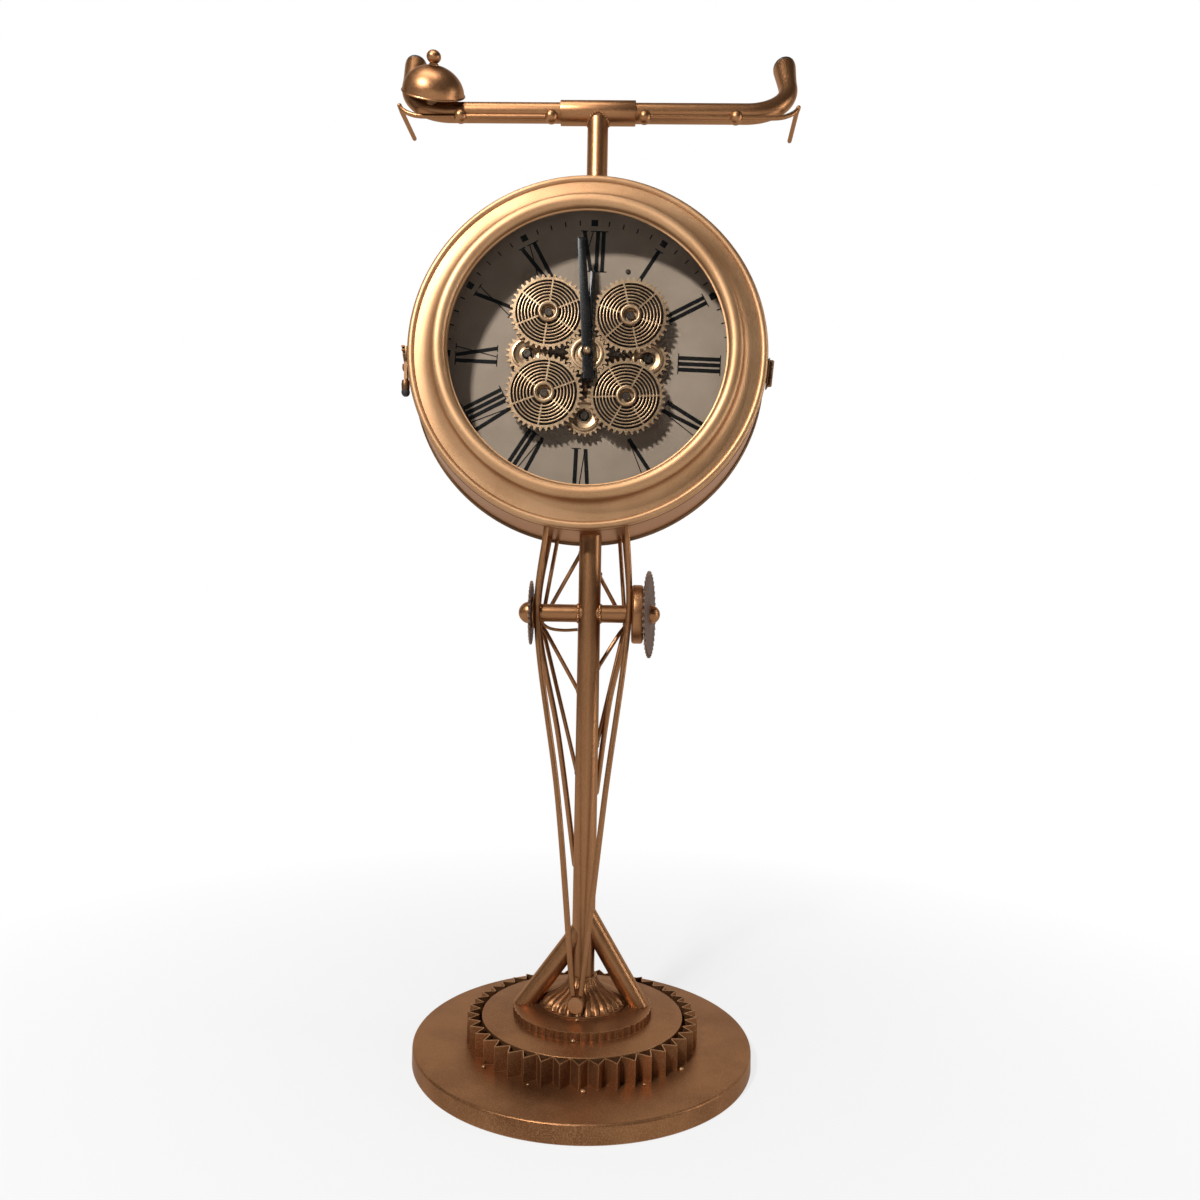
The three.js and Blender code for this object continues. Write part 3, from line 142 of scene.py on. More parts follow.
def ring_profile(inner, outer, low, high, r):
    """A flat ring's closed profile with its rims rounded over by a radius r."""
    return [*arc(outer - r, low + r, r, -90, 0, 2), *arc(outer - r, high - r, r, 0, 90, 2),
            *arc(inner + r, high - r, r, 90, 180, 2), *arc(inner + r, low + r, r, 180, 270, 2)]


# %% Straight and bent bars
def rod(bm, start, end, radius, segments=40):
    """A round bar between two points."""
    start, end = Vector(start), Vector(end)
    along = end - start
    turn = along.to_track_quat("Z", "Y").to_matrix().to_4x4()
    place = Matrix.Translation((start + end) / 2) @ turn
    bmesh.ops.create_cone(
        bm, cap_ends=True, cap_tris=False, segments=segments,
        radius1=radius, radius2=radius, depth=along.length, matrix=place,
    )


def ball(bm, centre, radius, squash=1.0, rings=12):
    """A round ball, or a flattened one."""
    place = Matrix.Translation(Vector(centre)) @ Matrix.Diagonal((radius, radius, radius * squash, 1))
    bmesh.ops.create_uvsphere(bm, u_segments=2 * rings, v_segments=rings, radius=1, matrix=place)


def bent(bm, points, radius, segments=14):
    """A round bar along a path of points, made by extruding one ring again and again."""
    points = [Vector(p) for p in points]
    heading = (points[1] - points[0]).normalized()
    turn = heading.to_track_quat("Z", "Y").to_matrix()
    places = []
    for i, point in enumerate(points):
        before, after = points[max(i - 1, 0)], points[min(i + 1, len(points) - 1)]
        new_heading = (after - before).normalized()
        turn = heading.rotation_difference(new_heading).to_matrix() @ turn
        heading = new_heading
        places.append(Matrix.Translation(point) @ turn.to_4x4())
    ring = bmesh.ops.create_circle(
        bm, cap_ends=True, segments=segments, radius=radius, matrix=places[0],
    )["verts"]
    edges = [e for e in bm.edges if e.verts[0] in ring and e.verts[1] in ring]
    for before, after in zip(places, places[1:]):
        grown = bmesh.ops.extrude_edge_only(bm, edges=edges)["geom"]
        verts = [g for g in grown if isinstance(g, bmesh.types.BMVert)]
        held = set(verts)
        edges = [g for g in grown if isinstance(g, bmesh.types.BMEdge) and set(g.verts) <= held]
        bmesh.ops.transform(bm, matrix=after @ before.inverted(), verts=verts)
    bmesh.ops.edgenet_fill(bm, edges=edges)


# %% Stamped shapes and boxes
def slab(bm, outline, thickness, axis="z", holes=()):
    """A flat plate from an outline of (across, up) pairs. On y it faces the viewer."""
    loops = []
    for points in (outline, *holes):
        verts = [bm.verts.new((x, y, 0)) for x, y in points]
        loops += [bm.edges.new((verts[i - 1], verts[i])) for i in range(len(verts))]
    filled = bmesh.ops.triangle_fill(bm, use_beauty=True, use_dissolve=False, edges=loops)
    faces = [g for g in filled["geom"] if isinstance(g, bmesh.types.BMFace)]
    grown = bmesh.ops.extrude_face_region(bm, geom=faces)["geom"]
    verts = [g for g in grown if isinstance(g, bmesh.types.BMVert)]
    bmesh.ops.translate(bm, vec=(0, 0, thickness), verts=verts)
    everything = list({v for e in loops for v in e.verts} | set(verts))
    if axis == "y":
        bmesh.ops.rotate(bm, cent=(0, 0, 0), matrix=Matrix.Rotation(pi / 2, 3, "X"), verts=everything)
    if axis == "x":
        bmesh.ops.rotate(bm, cent=(0, 0, 0), matrix=Matrix.Rotation(pi / 2, 3, "Y"), verts=everything)
    return everything


def toothed(teeth, tip, root, phase, tip_share=0.22, foot_share=0.62):
    """A gear outline: flat-tipped teeth, each centred on phase plus whole pitches."""
    pitch = 2 * pi / teeth
    points = []
    for i in range(teeth):
        middle = phase + i * pitch
        for radius, share in (
            (root, -foot_share), (tip, -tip_share), (tip, tip_share), (root, foot_share),
        ):
            angle = middle + pitch * share / 2
            points.append((radius * cos(angle), radius * sin(angle)))
    return points


def circle(radius, steps):
    """The outline of a round hole."""
    turns = [2 * pi * i / steps for i in range(steps)]
    return [(radius * cos(t), radius * sin(t)) for t in turns]


def block(bm, centre, size, turn=Matrix.Identity(4)):
    """A box about a centre, then turned about the origin."""
    place = turn @ Matrix.Translation(centre) @ Matrix.Diagonal((*size, 1))
    bmesh.ops.create_cube(bm, size=1, matrix=place)


def soften(bm, width, segments=2):
    """Bevels the edges that turn by more than 40 degrees, as a tumbled or painted part is."""
    sharp = [e for e in bm.edges if e.calc_face_angle(0.0) > radians(40)]
    bmesh.ops.bevel(
        bm, geom=sharp, offset=width, offset_type="OFFSET", segments=segments, profile=0.5,
        affect="EDGES", clamp_overlap=True, material=-1,
    )


# %% [markdown]
# ## Paint and other finishes
# The clock is sprayed copper or gold, and on the foot and the small parts the edges are lighter:
# partly rubbed paint, partly a painted highlight. A Bevel node next to the plain normal tells an
# edge from a flat, which gives that rub and highlight without any painting by hand, though it
# marks hollow corners too. Two sizes of noise add the cloudy spray and the fine metal flake, whose
# lighter specks are partly painted glints.

# %% Metallic paint
def node(tree, kind, **inputs):
    """A new node with some of its sockets set."""
    made = tree.nodes.new(kind)
    for key, value in inputs.items():
        made.inputs[key.replace("_", " ")].default_value = value
    return made


def new_material(name):
    """A material, its node tree and its shader."""
    material = bpy.data.materials.new(name)
    material.use_nodes = True
    tree = material.node_tree
    return material, tree, tree.nodes["Principled BSDF"]


def noise_on(tree, scale, detail):
    """Noise on Object coordinates, so that it stays with the piece."""
    where = tree.nodes.new("ShaderNodeTexCoord")
    noise = node(tree, "ShaderNodeTexNoise", Scale=scale, Detail=detail)
    tree.links.new(where.outputs["Object"], noise.inputs["Vector"])
    return noise.outputs["Fac"]


def ramp_on(tree, source, stops):
    """A colour ramp from (place, colour) pairs."""
    ramp = tree.nodes.new("ShaderNodeValToRGB")
    elements = ramp.color_ramp.elements
    while len(elements) < len(stops):
        elements.new(0.5)
    for element, (place, colour) in zip(elements, stops):
        element.position = place
        element.color = (*colour, 1)
    tree.links.new(source, ramp.inputs["Fac"])
    return ramp.outputs["Color"]


def mix_on(tree, factor, source, colour):
    """Mixes a socket's colour with a plain one. Inputs 6 and 7 and output 2 are the colour ones."""
    mixer = tree.nodes.new("ShaderNodeMix")
    mixer.data_type = "RGBA"
    tree.links.new(factor, mixer.inputs["Factor"])
    tree.links.new(source, mixer.inputs[6])
    mixer.inputs[7].default_value = (*colour, 1)
    return mixer.outputs[2]


def range_on(tree, source, low, high, from_low=0.3, from_high=0.7):
    """Rescales a value from one range to another."""
    mapper = node(
        tree, "ShaderNodeMapRange", From_Min=from_low, From_Max=from_high, To_Min=low, To_Max=high,
    )
    tree.links.new(source, mapper.inputs["Value"])
    return mapper.outputs["Result"]


def edge_rub_and_highlight(tree, radius, strength):
    """The strength of the edge rub and painted highlight on edges and in hollow corners within a radius,
    and 0 on flats.
    """
    bevel = node(tree, "ShaderNodeBevel", Radius=radius * MM)
    bevel.samples = 4
    geometry = tree.nodes.new("ShaderNodeNewGeometry")
    dot = tree.nodes.new("ShaderNodeVectorMath")
    dot.operation = "DOT_PRODUCT"
    tree.links.new(bevel.outputs["Normal"], dot.inputs[0])
    tree.links.new(geometry.outputs["Normal"], dot.inputs[1])
    return range_on(tree, dot.outputs["Value"], strength, 0.0, 0.80, 0.97)


def bump_on(tree, shader, height, strength, distance):
    """Lets a value raise and lower the surface."""
    bump = node(tree, "ShaderNodeBump", Strength=strength, Distance=distance * MM)
    tree.links.new(height, bump.inputs["Height"])
    tree.links.new(bump.outputs["Normal"], shader.inputs["Normal"])


FLAKE_SCALE = 900.0
BROWN_TINT = (0.78, 0.62, 0.52, 1)


def metallic_paint(name, body, shade, rub_and_highlight, rough, rub_and_highlight_width=0.0, metal=0.85):
    """Sprayed paint: body colour clouded with shade, flaked with specks of painted glint, and rubbed
    lighter on edges, partly as a painted highlight.
    """
    material, tree, shader = new_material(name)
    clouds = noise_on(tree, 14.0, 4.0)
    flakes = noise_on(tree, FLAKE_SCALE, 2.0)
    colour = ramp_on(tree, clouds, [(0.34, shade), (0.6, body)])
    # lighter flake specks: the paint's flake, drawn partly as painted glints
    colour = mix_on(tree, range_on(tree, flakes, 0.0, 0.35, 0.45, 0.75), colour, rub_and_highlight)
    # lighter edges and hollow corners: rubbed paint and a painted edge highlight
    if rub_and_highlight_width:
        colour = mix_on(tree, edge_rub_and_highlight(tree, rub_and_highlight_width, 0.8), colour, rub_and_highlight)
    tree.links.new(colour, shader.inputs["Base Color"])
    tree.links.new(range_on(tree, flakes, rough - 0.05, rough + 0.08), shader.inputs["Roughness"])
    shader.inputs["Metallic"].default_value = metal
    # the tint keeps the paint's grazing reflection brown
    shader.inputs["Specular Tint"].default_value = BROWN_TINT
    bump_on(tree, shader, flakes, 0.25, 0.12)
    return material


copper = metallic_paint(
    "sprayed_copper", (0.30, 0.140, 0.060), (0.262, 0.120, 0.050), (0.50, 0.28, 0.145), 0.36, metal=0.92,
)
# the foot's copper: its lighter edges are partly wear, partly a painted highlight
copper_worn_and_highlit = metallic_paint(
    "rubbed_highlit_copper", (0.24, 0.105, 0.042), (0.15, 0.060, 0.022), (0.56, 0.33, 0.17), 0.40, rub_and_highlight_width=1.6,
)
gold = metallic_paint(
    "ring_gold", (0.46, 0.265, 0.135), (0.37, 0.20, 0.095), (0.64, 0.41, 0.24), 0.48, metal=0.9,
)
gear_gold = metallic_paint(
    "gear_gold", (0.55, 0.37, 0.21), (0.32, 0.19, 0.10), (0.86, 0.66, 0.45), 0.36, rub_and_highlight_width=0.35,
)
bronze = metallic_paint(
    "dark_bronze", (0.15, 0.078, 0.037), (0.075, 0.036, 0.017), (0.33, 0.19, 0.095), 0.42, rub_and_highlight_width=0.5,
)
disc_bronze = metallic_paint(
    "disc_bronze", (0.17, 0.105, 0.075), (0.10, 0.058, 0.040), (0.30, 0.20, 0.14), 0.62,
    rub_and_highlight_width=0.5, metal=0.25,
)
# the toothed discs are duller, so they mirror less of the pale floor
disc_bronze.node_tree.nodes["Principled BSDF"].inputs["Specular IOR Level"].default_value = 0.15
print("paints:", [m.name for m in (copper, copper_worn_and_highlit, gold, gear_gold, bronze, disc_bronze)])


# %% Dial, hands, board, plastic and glass
def plain_finish(name, colour, shade, rough, grain, bump=0.1, metal=0.0, scale=30.0, sheen=0.5):
    """A quiet finish: two close shades in soft clouds, with a fine tooth. Sheen is its gloss."""
    material, tree, shader = new_material(name)
    colour_out = ramp_on(tree, noise_on(tree, scale, 4.0), [(0.35, shade), (0.65, colour)])
    tooth = noise_on(tree, grain, 3.0)
    tree.links.new(colour_out, shader.inputs["Base Color"])
    tree.links.new(range_on(tree, tooth, rough - 0.06, rough + 0.06), shader.inputs["Roughness"])
    shader.inputs["Metallic"].default_value = metal
    shader.inputs["Specular IOR Level"].default_value = sheen
    bump_on(tree, shader, tooth, bump, 0.1)
    return material


INK = (0.003, 0.003, 0.003)
dial_paint = plain_finish(
    "dial_grey", (0.36, 0.285, 0.215), (0.32, 0.25, 0.185), 0.6, 700.0, 0.12, sheen=0.1,
)
black_enamel = plain_finish("black_enamel", (0.012, 0.010, 0.009), INK, 0.30, 500.0, 0.02, sheen=0.25)
dial_ink = plain_finish("dial_ink", (0.010, 0.009, 0.008), INK, 0.55, 900.0, 0.05, sheen=0.06)
black_plastic = plain_finish(
    "matt_plastic", (0.02, 0.018, 0.017), (0.012, 0.011, 0.010), 0.45, 1400.0, 0.2,
)
black_rubber = plain_finish(
    "pull_rubber", (0.018, 0.017, 0.016), (0.010, 0.010, 0.010), 0.7, 2200.0, 0.3,
)
fibre_board = plain_finish(
    "fibre_board", (0.36, 0.22, 0.12), (0.28, 0.16, 0.085), 0.85, 1500.0, 0.5, scale=120.0,
)
screw_steel = plain_finish(
    "dark_screws", (0.11, 0.085, 0.065), (0.05, 0.04, 0.03), 0.35, 800.0, metal=0.9,
)
# near black, for the discs of painted shade behind the wheels' gaps and in the idlers' dishes
gear_painted_shade = plain_finish(
    "gear_painted_shade", (0.014, 0.009, 0.006), (0.008, 0.005, 0.003), 0.7, 900.0, sheen=0.1,
)

# clean glass: nearly all of it is see-through, and only its faint reflection is drawn
door_glass, glass_tree, glass_shader = new_material("clear_glass")
glass_shader.inputs["Base Color"].default_value = (0.02, 0.022, 0.022, 1)
glass_shader.inputs["Alpha"].default_value = 0.06
smears = noise_on(glass_tree, 8.0, 2.0)
glass_tree.links.new(range_on(glass_tree, smears, 0.02, 0.07), glass_shader.inputs["Roughness"])
print("other finishes:", [m.name for m in (
    dial_paint, black_enamel, dial_ink, black_plastic, black_rubber, fibre_board, screw_steel,
    gear_painted_shade, door_glass)])

# %% [markdown]
# ## The foot
# The base is a sheet-metal pan over a board core. The pan's edge is rolled, so a spun profile
# with a rounded corner fits. On it stands a puck inside a strip that is folded into a zig-zag
# like gear teeth. The strip is one band of sheet: a circle of points, every second one pulled
# in, extruded upwards and given the thickness of sheet.

# %% Base pan, board and puck
STAND, DOOR = "stand", "door"
SIDES = ((-1, "left"), (1, "right"))
BASE_TOP, PUCK_TOP, STEP_TOP = 18.0, 41.5, 50.5

pan = [(0, BASE_TOP), *arc(177.8, 15.2, 2.8, 90, 0, 6), (180.6, 0.6), (180.2, 0), (179.2, 0),
       (179.0, 0.6), *arc(177.8, 15.2, 1.2, 0, 90, 4), (0, 16.4)]
spun("base_pan", copper_worn_and_highlit, STAND, ["base_shell"], pan, steps=160)

bm = bmesh.new()
turned(bm, [(0, 0.3), (177.2, 0.3), (178.4, 1.5), (178.4, 12.6), (176, 15.8), (0, 15.8)], steps=128)
# four thin round pads under the board
for turn in range(4):
    angle = radians(45 + 90 * turn)
    turned(bm, [(0, 0), (11, 0), (12, 0.4), (12, 1.2), (0, 1.2)], steps=32,
           at=(140 * cos(angle), 140 * sin(angle), 0))
finish_piece(bm, "base_core", fibre_board, STAND, ["base_board"])

spun("gear_puck", copper_worn_and_highlit, STAND, ["base_puck"],
     [(0, BASE_TOP), (108.4, BASE_TOP), *arc(107.6, PUCK_TOP - 0.8, 0.8, 0, 90, 3), (0, PUCK_TOP)],
     steps=160)


# %% Folded strip
def folded_strip(folds, valley, tip, low, high, sheet):
    """A zig-zag band of sheet with its folds slightly rounded."""
    bm = bmesh.new()
    ring = bmesh.ops.create_circle(bm, cap_ends=False, segments=2 * folds, radius=tip)["verts"]
    for i, vert in enumerate(ring):
        if i % 2:
            bmesh.ops.scale(bm, vec=(valley / tip, valley / tip, 1), verts=[vert])
    bmesh.ops.translate(bm, vec=(0, 0, low), verts=bm.verts)
    grown = bmesh.ops.extrude_edge_only(bm, edges=bm.edges[:])["geom"]
    top = [g for g in grown if isinstance(g, bmesh.types.BMVert)]
    bmesh.ops.translate(bm, vec=(0, 0, high - low), verts=top)
    upright = [e for e in bm.edges if abs(e.verts[0].co.z - e.verts[1].co.z) > 1]
    bmesh.ops.bevel(
        bm, geom=upright, offset=0.9, offset_type="OFFSET", segments=3, profile=0.5,
        affect="EDGES", clamp_overlap=True, material=-1,
    )
    bmesh.ops.recalc_face_normals(bm, faces=bm.faces)
    if bm.faces[0].normal.dot(bm.faces[0].calc_center_median().to_2d().to_3d()) < 0:
        bmesh.ops.reverse_faces(bm, faces=bm.faces)
    bmesh.ops.solidify(bm, geom=bm.faces[:], thickness=sheet)
    return bm


FOLDS = 42
bm = folded_strip(FOLDS, 111.9, 124.6, BASE_TOP + 0.1, BASE_TOP + 24.0, 1.0)
finish_piece(bm, "folded_strip", copper_worn_and_highlit, STAND, ["base_gear_strip"], sharp=50)
print("strip folds:", FOLDS)

# %% [markdown]
# Tack welds hold the strip down, and a few of them show as bright drips of paint. They are
# flattened balls, set between some of the folds, and at the seam of the step plate.

# %% Tack welds on the foot
bm = bmesh.new()
for degrees, radius, height, size in (
    (-88.2, 125.4, 19.2, 2.6), (-139.2, 126.0, 18.8, 2.3), (-36.8, 126.4, 18.8, 2.4),
    (-95.7, 75.4, 42.8, 2.4), (-95.5, 47.2, 51.6, 2.0), (-60.0, 125.0, 18.8, 1.6),
    (-113.0, 124.8, 18.8, 1.6),
):
    angle = radians(degrees)
    ball(bm, (radius * cos(angle), radius * sin(angle), height), size, 0.7, 8)
finish_piece(bm, "foot_welds", gold, STAND)

# %% Scalloped step plate
SCALLOPS = 48
outline = []
for i in range(SCALLOPS * 6):
    angle = 2 * pi * i / (SCALLOPS * 6)
    dip = abs(sin(angle * SCALLOPS / 2))
    radius = 73.7 + 1.3 * dip ** 0.7
    outline.append((radius * cos(angle), radius * sin(angle)))
bm = bmesh.new()
slab(bm, outline, STEP_TOP - PUCK_TOP)
bmesh.ops.translate(bm, vec=(0, 0, PUCK_TOP), verts=bm.verts)
finish_piece(bm, "scalloped_plate", copper_worn_and_highlit, STAND, ["step_plate"], sharp=50)


# %% [markdown]
# ## The rosette
# A stamped, fluted skirt hides where the pole meets the foot. It is spun as a smooth cone
# first. The flutes come from pushing every point in or out by a wave round the axis, strongest
# at the hem, and the wave also leans a little, as the leaves of the stamping do.

# %% Fluted rosette
def fluted_rosette(flutes, depth):
    """A spun skirt whose points are moved in and out by a wave."""
    bm = bmesh.new()
    profile = [(12.6, 28.6), (15.2, 28.8), (15.8, 26.0), (18.4, 21.5), (24.0, 15.8), (31.5, 11.4),
               (38.0, 8.0), (41.6, 4.4), (42.6, 1.4), (46.4, 0.9), (46.4, -1.9), (12.6, -1.9)]
    turned(bm, profile, steps=flutes * 8)
    for vert in bm.verts:
        radius = vert.co.to_2d().length
        if vert.co.z < 1.0 or radius < 13:
            continue
        share = min(max((radius - 15.5) / 24, 0.12), 1.0)
        angle = atan2(vert.co.y, vert.co.x) + 0.10 * share
        wave = abs(sin(angle * flutes / 2)) - 0.5
        grow = 1 + depth * wave * share / radius * 10
        bmesh.ops.scale(bm, vec=(grow, grow, 1), verts=[vert])
    bmesh.ops.translate(bm, vec=(0, 0, STEP_TOP + 2.0), verts=bm.verts)
    return bm


finish_piece(fluted_rosette(26, 0.42), "fluted_rosette", copper_worn_and_highlit, STAND, ["rosette"], sharp=60)

# %% [markdown]
# ## Pole, legs, lug and cross tube
# These are plain tubes, welded where they meet. The welds matter for the look: a thin, lumpy
# collar softens each joint. A ring of small overlapping balls on the seam reads as a hand-laid
# bead.


# %% Weld beads
def weld_ring(bm, centre, axis, radius, bead, count):
    """A hand-laid bead: overlapping flattened balls round a joint."""
    axis = Vector(axis).normalized()
    side = axis.orthogonal().normalized()
    other = axis.cross(side)
    for i in range(count):
        angle = 2 * pi * i / count
        size = bead * (1 + 0.25 * sin(i * 2.7) * cos(i * 1.3))
        spot = Vector(centre) + (side * cos(angle) + other * sin(angle)) * radius
        ball(bm, spot, size, 0.9, 6)


# %% Pole and its legs
bm = bmesh.new()
rod(bm, (0, 0, STEP_TOP), (0, 0, 566), 12.5, 56)
finish_piece(bm, "upright_pole", copper, STAND, ["pole"])


def cut_level(bm, height):
    """Saws a shape off at a height, keeps what is above, and closes the cut."""
    everything = bm.verts[:] + bm.edges[:] + bm.faces[:]
    cut = bmesh.ops.bisect_plane(
        bm, geom=everything, plane_co=(0, 0, height), plane_no=(0, 0, 1), clear_inner=True,
    )
    edges = [g for g in cut["geom_cut"] if isinstance(g, bmesh.types.BMEdge)]
    bmesh.ops.edgenet_fill(bm, edges=edges)


# each leg: where its centre line meets the step plate, and where it meets the pole's
LEG_RADIUS = 11
for word, reach, top in (("left", -61.0, 132.0), ("right", 59.9, 150.0)):
    slope = Vector((reach, 0, STEP_TOP - top)).normalized()
    bm = bmesh.new()
    foot = Vector((reach, 0, STEP_TOP)) + slope * 14
    rod(bm, Vector((0, 0, top)) + slope * 4, foot, LEG_RADIUS, 48)
    cut_level(bm, STEP_TOP)
    finish_piece(bm, "slanted_leg_" + word, copper, STAND, ["leg_" + word])
    bm = bmesh.new()
    for degrees in range(0, 360, 20):
        angle = radians(degrees)
        x, y = reach + LEG_RADIUS / abs(slope.z) * cos(angle), LEG_RADIUS * sin(angle)
        if hypot(x, y) < 71.5:
            ball(bm, (x, y, STEP_TOP + 0.4), 1.2 + 0.3 * sin(degrees), 0.8, 6)
    finish_piece(bm, "leg_weld_" + word, copper, STAND)

LUG_TURN, LUG_REACH, LUG_Z = radians(-8.3), 45, 64.5
lug_end = Vector((LUG_REACH * sin(LUG_TURN), -LUG_REACH * cos(LUG_TURN), LUG_Z))
bm = bmesh.new()
rod(bm, (0, 0, LUG_Z), lug_end, 8.5, 40)
soften(bm, 0.7)
finish_piece(bm, "forward_lug", copper, STAND, ["front_lug"])
bm = bmesh.new()
rod(bm, lug_end, lug_end + Vector((sin(LUG_TURN), -cos(LUG_TURN), 0)) * 0.35, 7.7, 36)
finish_piece(bm, "lug_face", gold, STAND)

# %% Cross tube and hub
ARM, ARM_RADIUS = 475.5, 10
bm = bmesh.new()
rod(bm, (-62, 0, ARM), (0, 0, ARM), ARM_RADIUS, 40)
turned(bm, disc_profile(17.8, -64.0, -61.6, 0.7), "x", 48, at=(0, 0, ARM))
finish_piece(bm, "cross_tube_left", copper, STAND, ["cross_arm_left"])
bm = bmesh.new()
rod(bm, (0, 0, ARM), (49, 0, ARM), ARM_RADIUS, 40)
finish_piece(bm, "cross_tube_right", copper, STAND, ["cross_arm_right"])

hub = [(0, 47.6), (29.5, 47.6), *arc(30.2, 50.4, 2.8, -90, 0, 5), *arc(30.2, 57.4, 2.8, 0, 90, 5),
       (26, 60.2), (22.5, 58.4), (12.4, 58.2), (12, 58.8), (12, 66.2), (0, 66.2)]
spun("round_hub", copper, STAND, ["right_hub"], hub, "x", at=(0, 0, ARM))

bm = bmesh.new()
for x, radius, bead in ((-12.2, 9.6, 2.0), (12.2, 9.6, 2.0), (47.2, 10.2, 1.6)):
    weld_ring(bm, (x, 0, ARM), (1, 0, 0), radius, bead, 22)
finish_piece(bm, "cross_tube_welds", copper, STAND)


# %% [markdown]
# ## The two toothed wheels on the cross tube
# Both are stamped from sheet with pointed teeth. The right one is set a little askew, so it
# shows a thin ellipse of teeth to the viewer. A shallow dome in its middle carries the cap.

# %% Toothed wheels and caps
def pointed_disc(bm, teeth, tip, root, back):
    """A disc of 2 mm sheet with sharp teeth, that faces along x from its back's centre."""
    slab(bm, toothed(teeth, tip, root, 0.0, 0.10, 0.86), 2.0, "x")
    bmesh.ops.translate(bm, vec=back, verts=bm.verts)


bm = bmesh.new()
pointed_disc(bm, 36, 36, 31.5, (-66.3, 0, ARM))
turned(bm, [(0, -68.0), (14, -67.6), (16, -66.2), (0, -66.2)], "x", 48, at=(0, 0, ARM))
finish_piece(bm, "left_toothed_disc", disc_bronze, STAND, ["left_sprocket"], sharp=30)


def dome(radius, base, way=1):
    """A quarter circle's profile that bulges from its base along the axis, or against it."""
    turns = [pi / 2 * i / 10 for i in range(10)]
    rim = [(radius * cos(t), base + way * radius * sin(t)) for t in turns]
    return [*rim, (0, base + way * radius), (0, base)]


spun("left_dome", copper, STAND, ["left_cap"], dome(12.4, -67.0, -1), "x", 48, at=(0, 0, ARM))

CHAIN_TURN = Matrix.Translation((67.4, 0, ARM)) @ Matrix.Rotation(radians(-11), 4, "Z")
bm = bmesh.new()
pointed_disc(bm, 40, 49, 43.5, (-1.0, 0, 0))
turned(bm, [(0, 2.0), (20, 1.6), (24, 0.9), (24, 0.2), (0, 0.2)], "x", 56)
finish_piece(bm, "chain_wheel", disc_bronze, STAND, ["chainring"], sharp=30, place=CHAIN_TURN)
spun("right_dome", copper, STAND, ["right_cap"], dome(10.5, 1.6), "x", 48, place=CHAIN_TURN)


# %% [markdown]
# ## Bracing rods
# Eight rods lace the stand like the stays of a derrick. Six run from the case, past the cross
# tube, to a foot on the pole or the lug. The two diagonals leave the pole above the tube and
# come back to it below. The four stout rods bow a little, and the thin wires are straight with
# one tight elbow. A smooth curve through a few points gives either path.

# %% Smooth paths
def blend(a, b, a_time, b_time, time):
    """The point at a time on the line that is at a and at b at their times."""
    return a * ((b_time - time) / (b_time - a_time)) + b * ((time - a_time) / (b_time - a_time))


def smooth_path(points, steps):
    """A curve through the points whose speed follows the square root of their spacing."""
    points = [Vector(p) for p in points]
    full = [points[0] * 2 - points[1], *points, points[-1] * 2 - points[-2]]
    path = []
    for k in range(1, len(full) - 2):
        p0, p1, p2, p3 = full[k - 1:k + 3]
        t1 = sqrt((p1 - p0).length)
        t2 = t1 + sqrt((p2 - p1).length)
        t3 = t2 + sqrt((p3 - p2).length)
        for i in range(steps):
            t = t1 + (t2 - t1) * i / steps
            a1, a2, a3 = blend(p0, p1, 0, t1, t), blend(p1, p2, t1, t2, t), blend(p2, p3, t2, t3, t)
            b1, b2 = blend(a1, a2, 0, t2, t), blend(a2, a3, t1, t3, t)
            path.append(blend(b1, b2, t1, t2, t))
    path.append(points[-1])
    return path


def brace(word, kind, points, radius):
    """A rod bent through the points, in place of the model's rod of the same kind and side."""
    bm = bmesh.new()
    bent(bm, smooth_path(points, 12), radius)
    finish_piece(bm, f"{kind}_brace_{word}", copper, STAND, [f"{kind}_rod_{word}"])


BEND_REACH = 14.0


def elbow(top, waist, foot):
    """Five points of a wire that is straight on both sides of a tight bend."""
    top, waist, foot = Vector(top), Vector(waist), Vector(foot)
    above = waist + (top - waist).normalized() * BEND_REACH
    below = waist + (foot - waist).normalized() * BEND_REACH
    return [top, above, waist, below, foot]


def bowed(top, waist, foot, bow):
    """Four points of a rod that leans in a little between its waist and its foot."""
    top, waist, foot = Vector(top), Vector(waist), Vector(foot)
    middle = (waist + foot) / 2 - Vector((copysign(bow, waist.x), 0, 0))
    return [top, waist, middle, foot]


# %% The eight braces
CASE_X, CASE_Z, CASE_RADIUS = -7.0, 764.0, 199.5


def underside(x):
    """The height of the case's underside at x, with 1 mm of bite for the weld."""
    return CASE_Z - sqrt(CASE_RADIUS ** 2 - (x - CASE_X) ** 2) + 1.0


weld_spots = []
# the front rods end beside the lug, this far forward and this far above its centre line
LUG_HOLD, LUG_HIGH = 38, 8.5
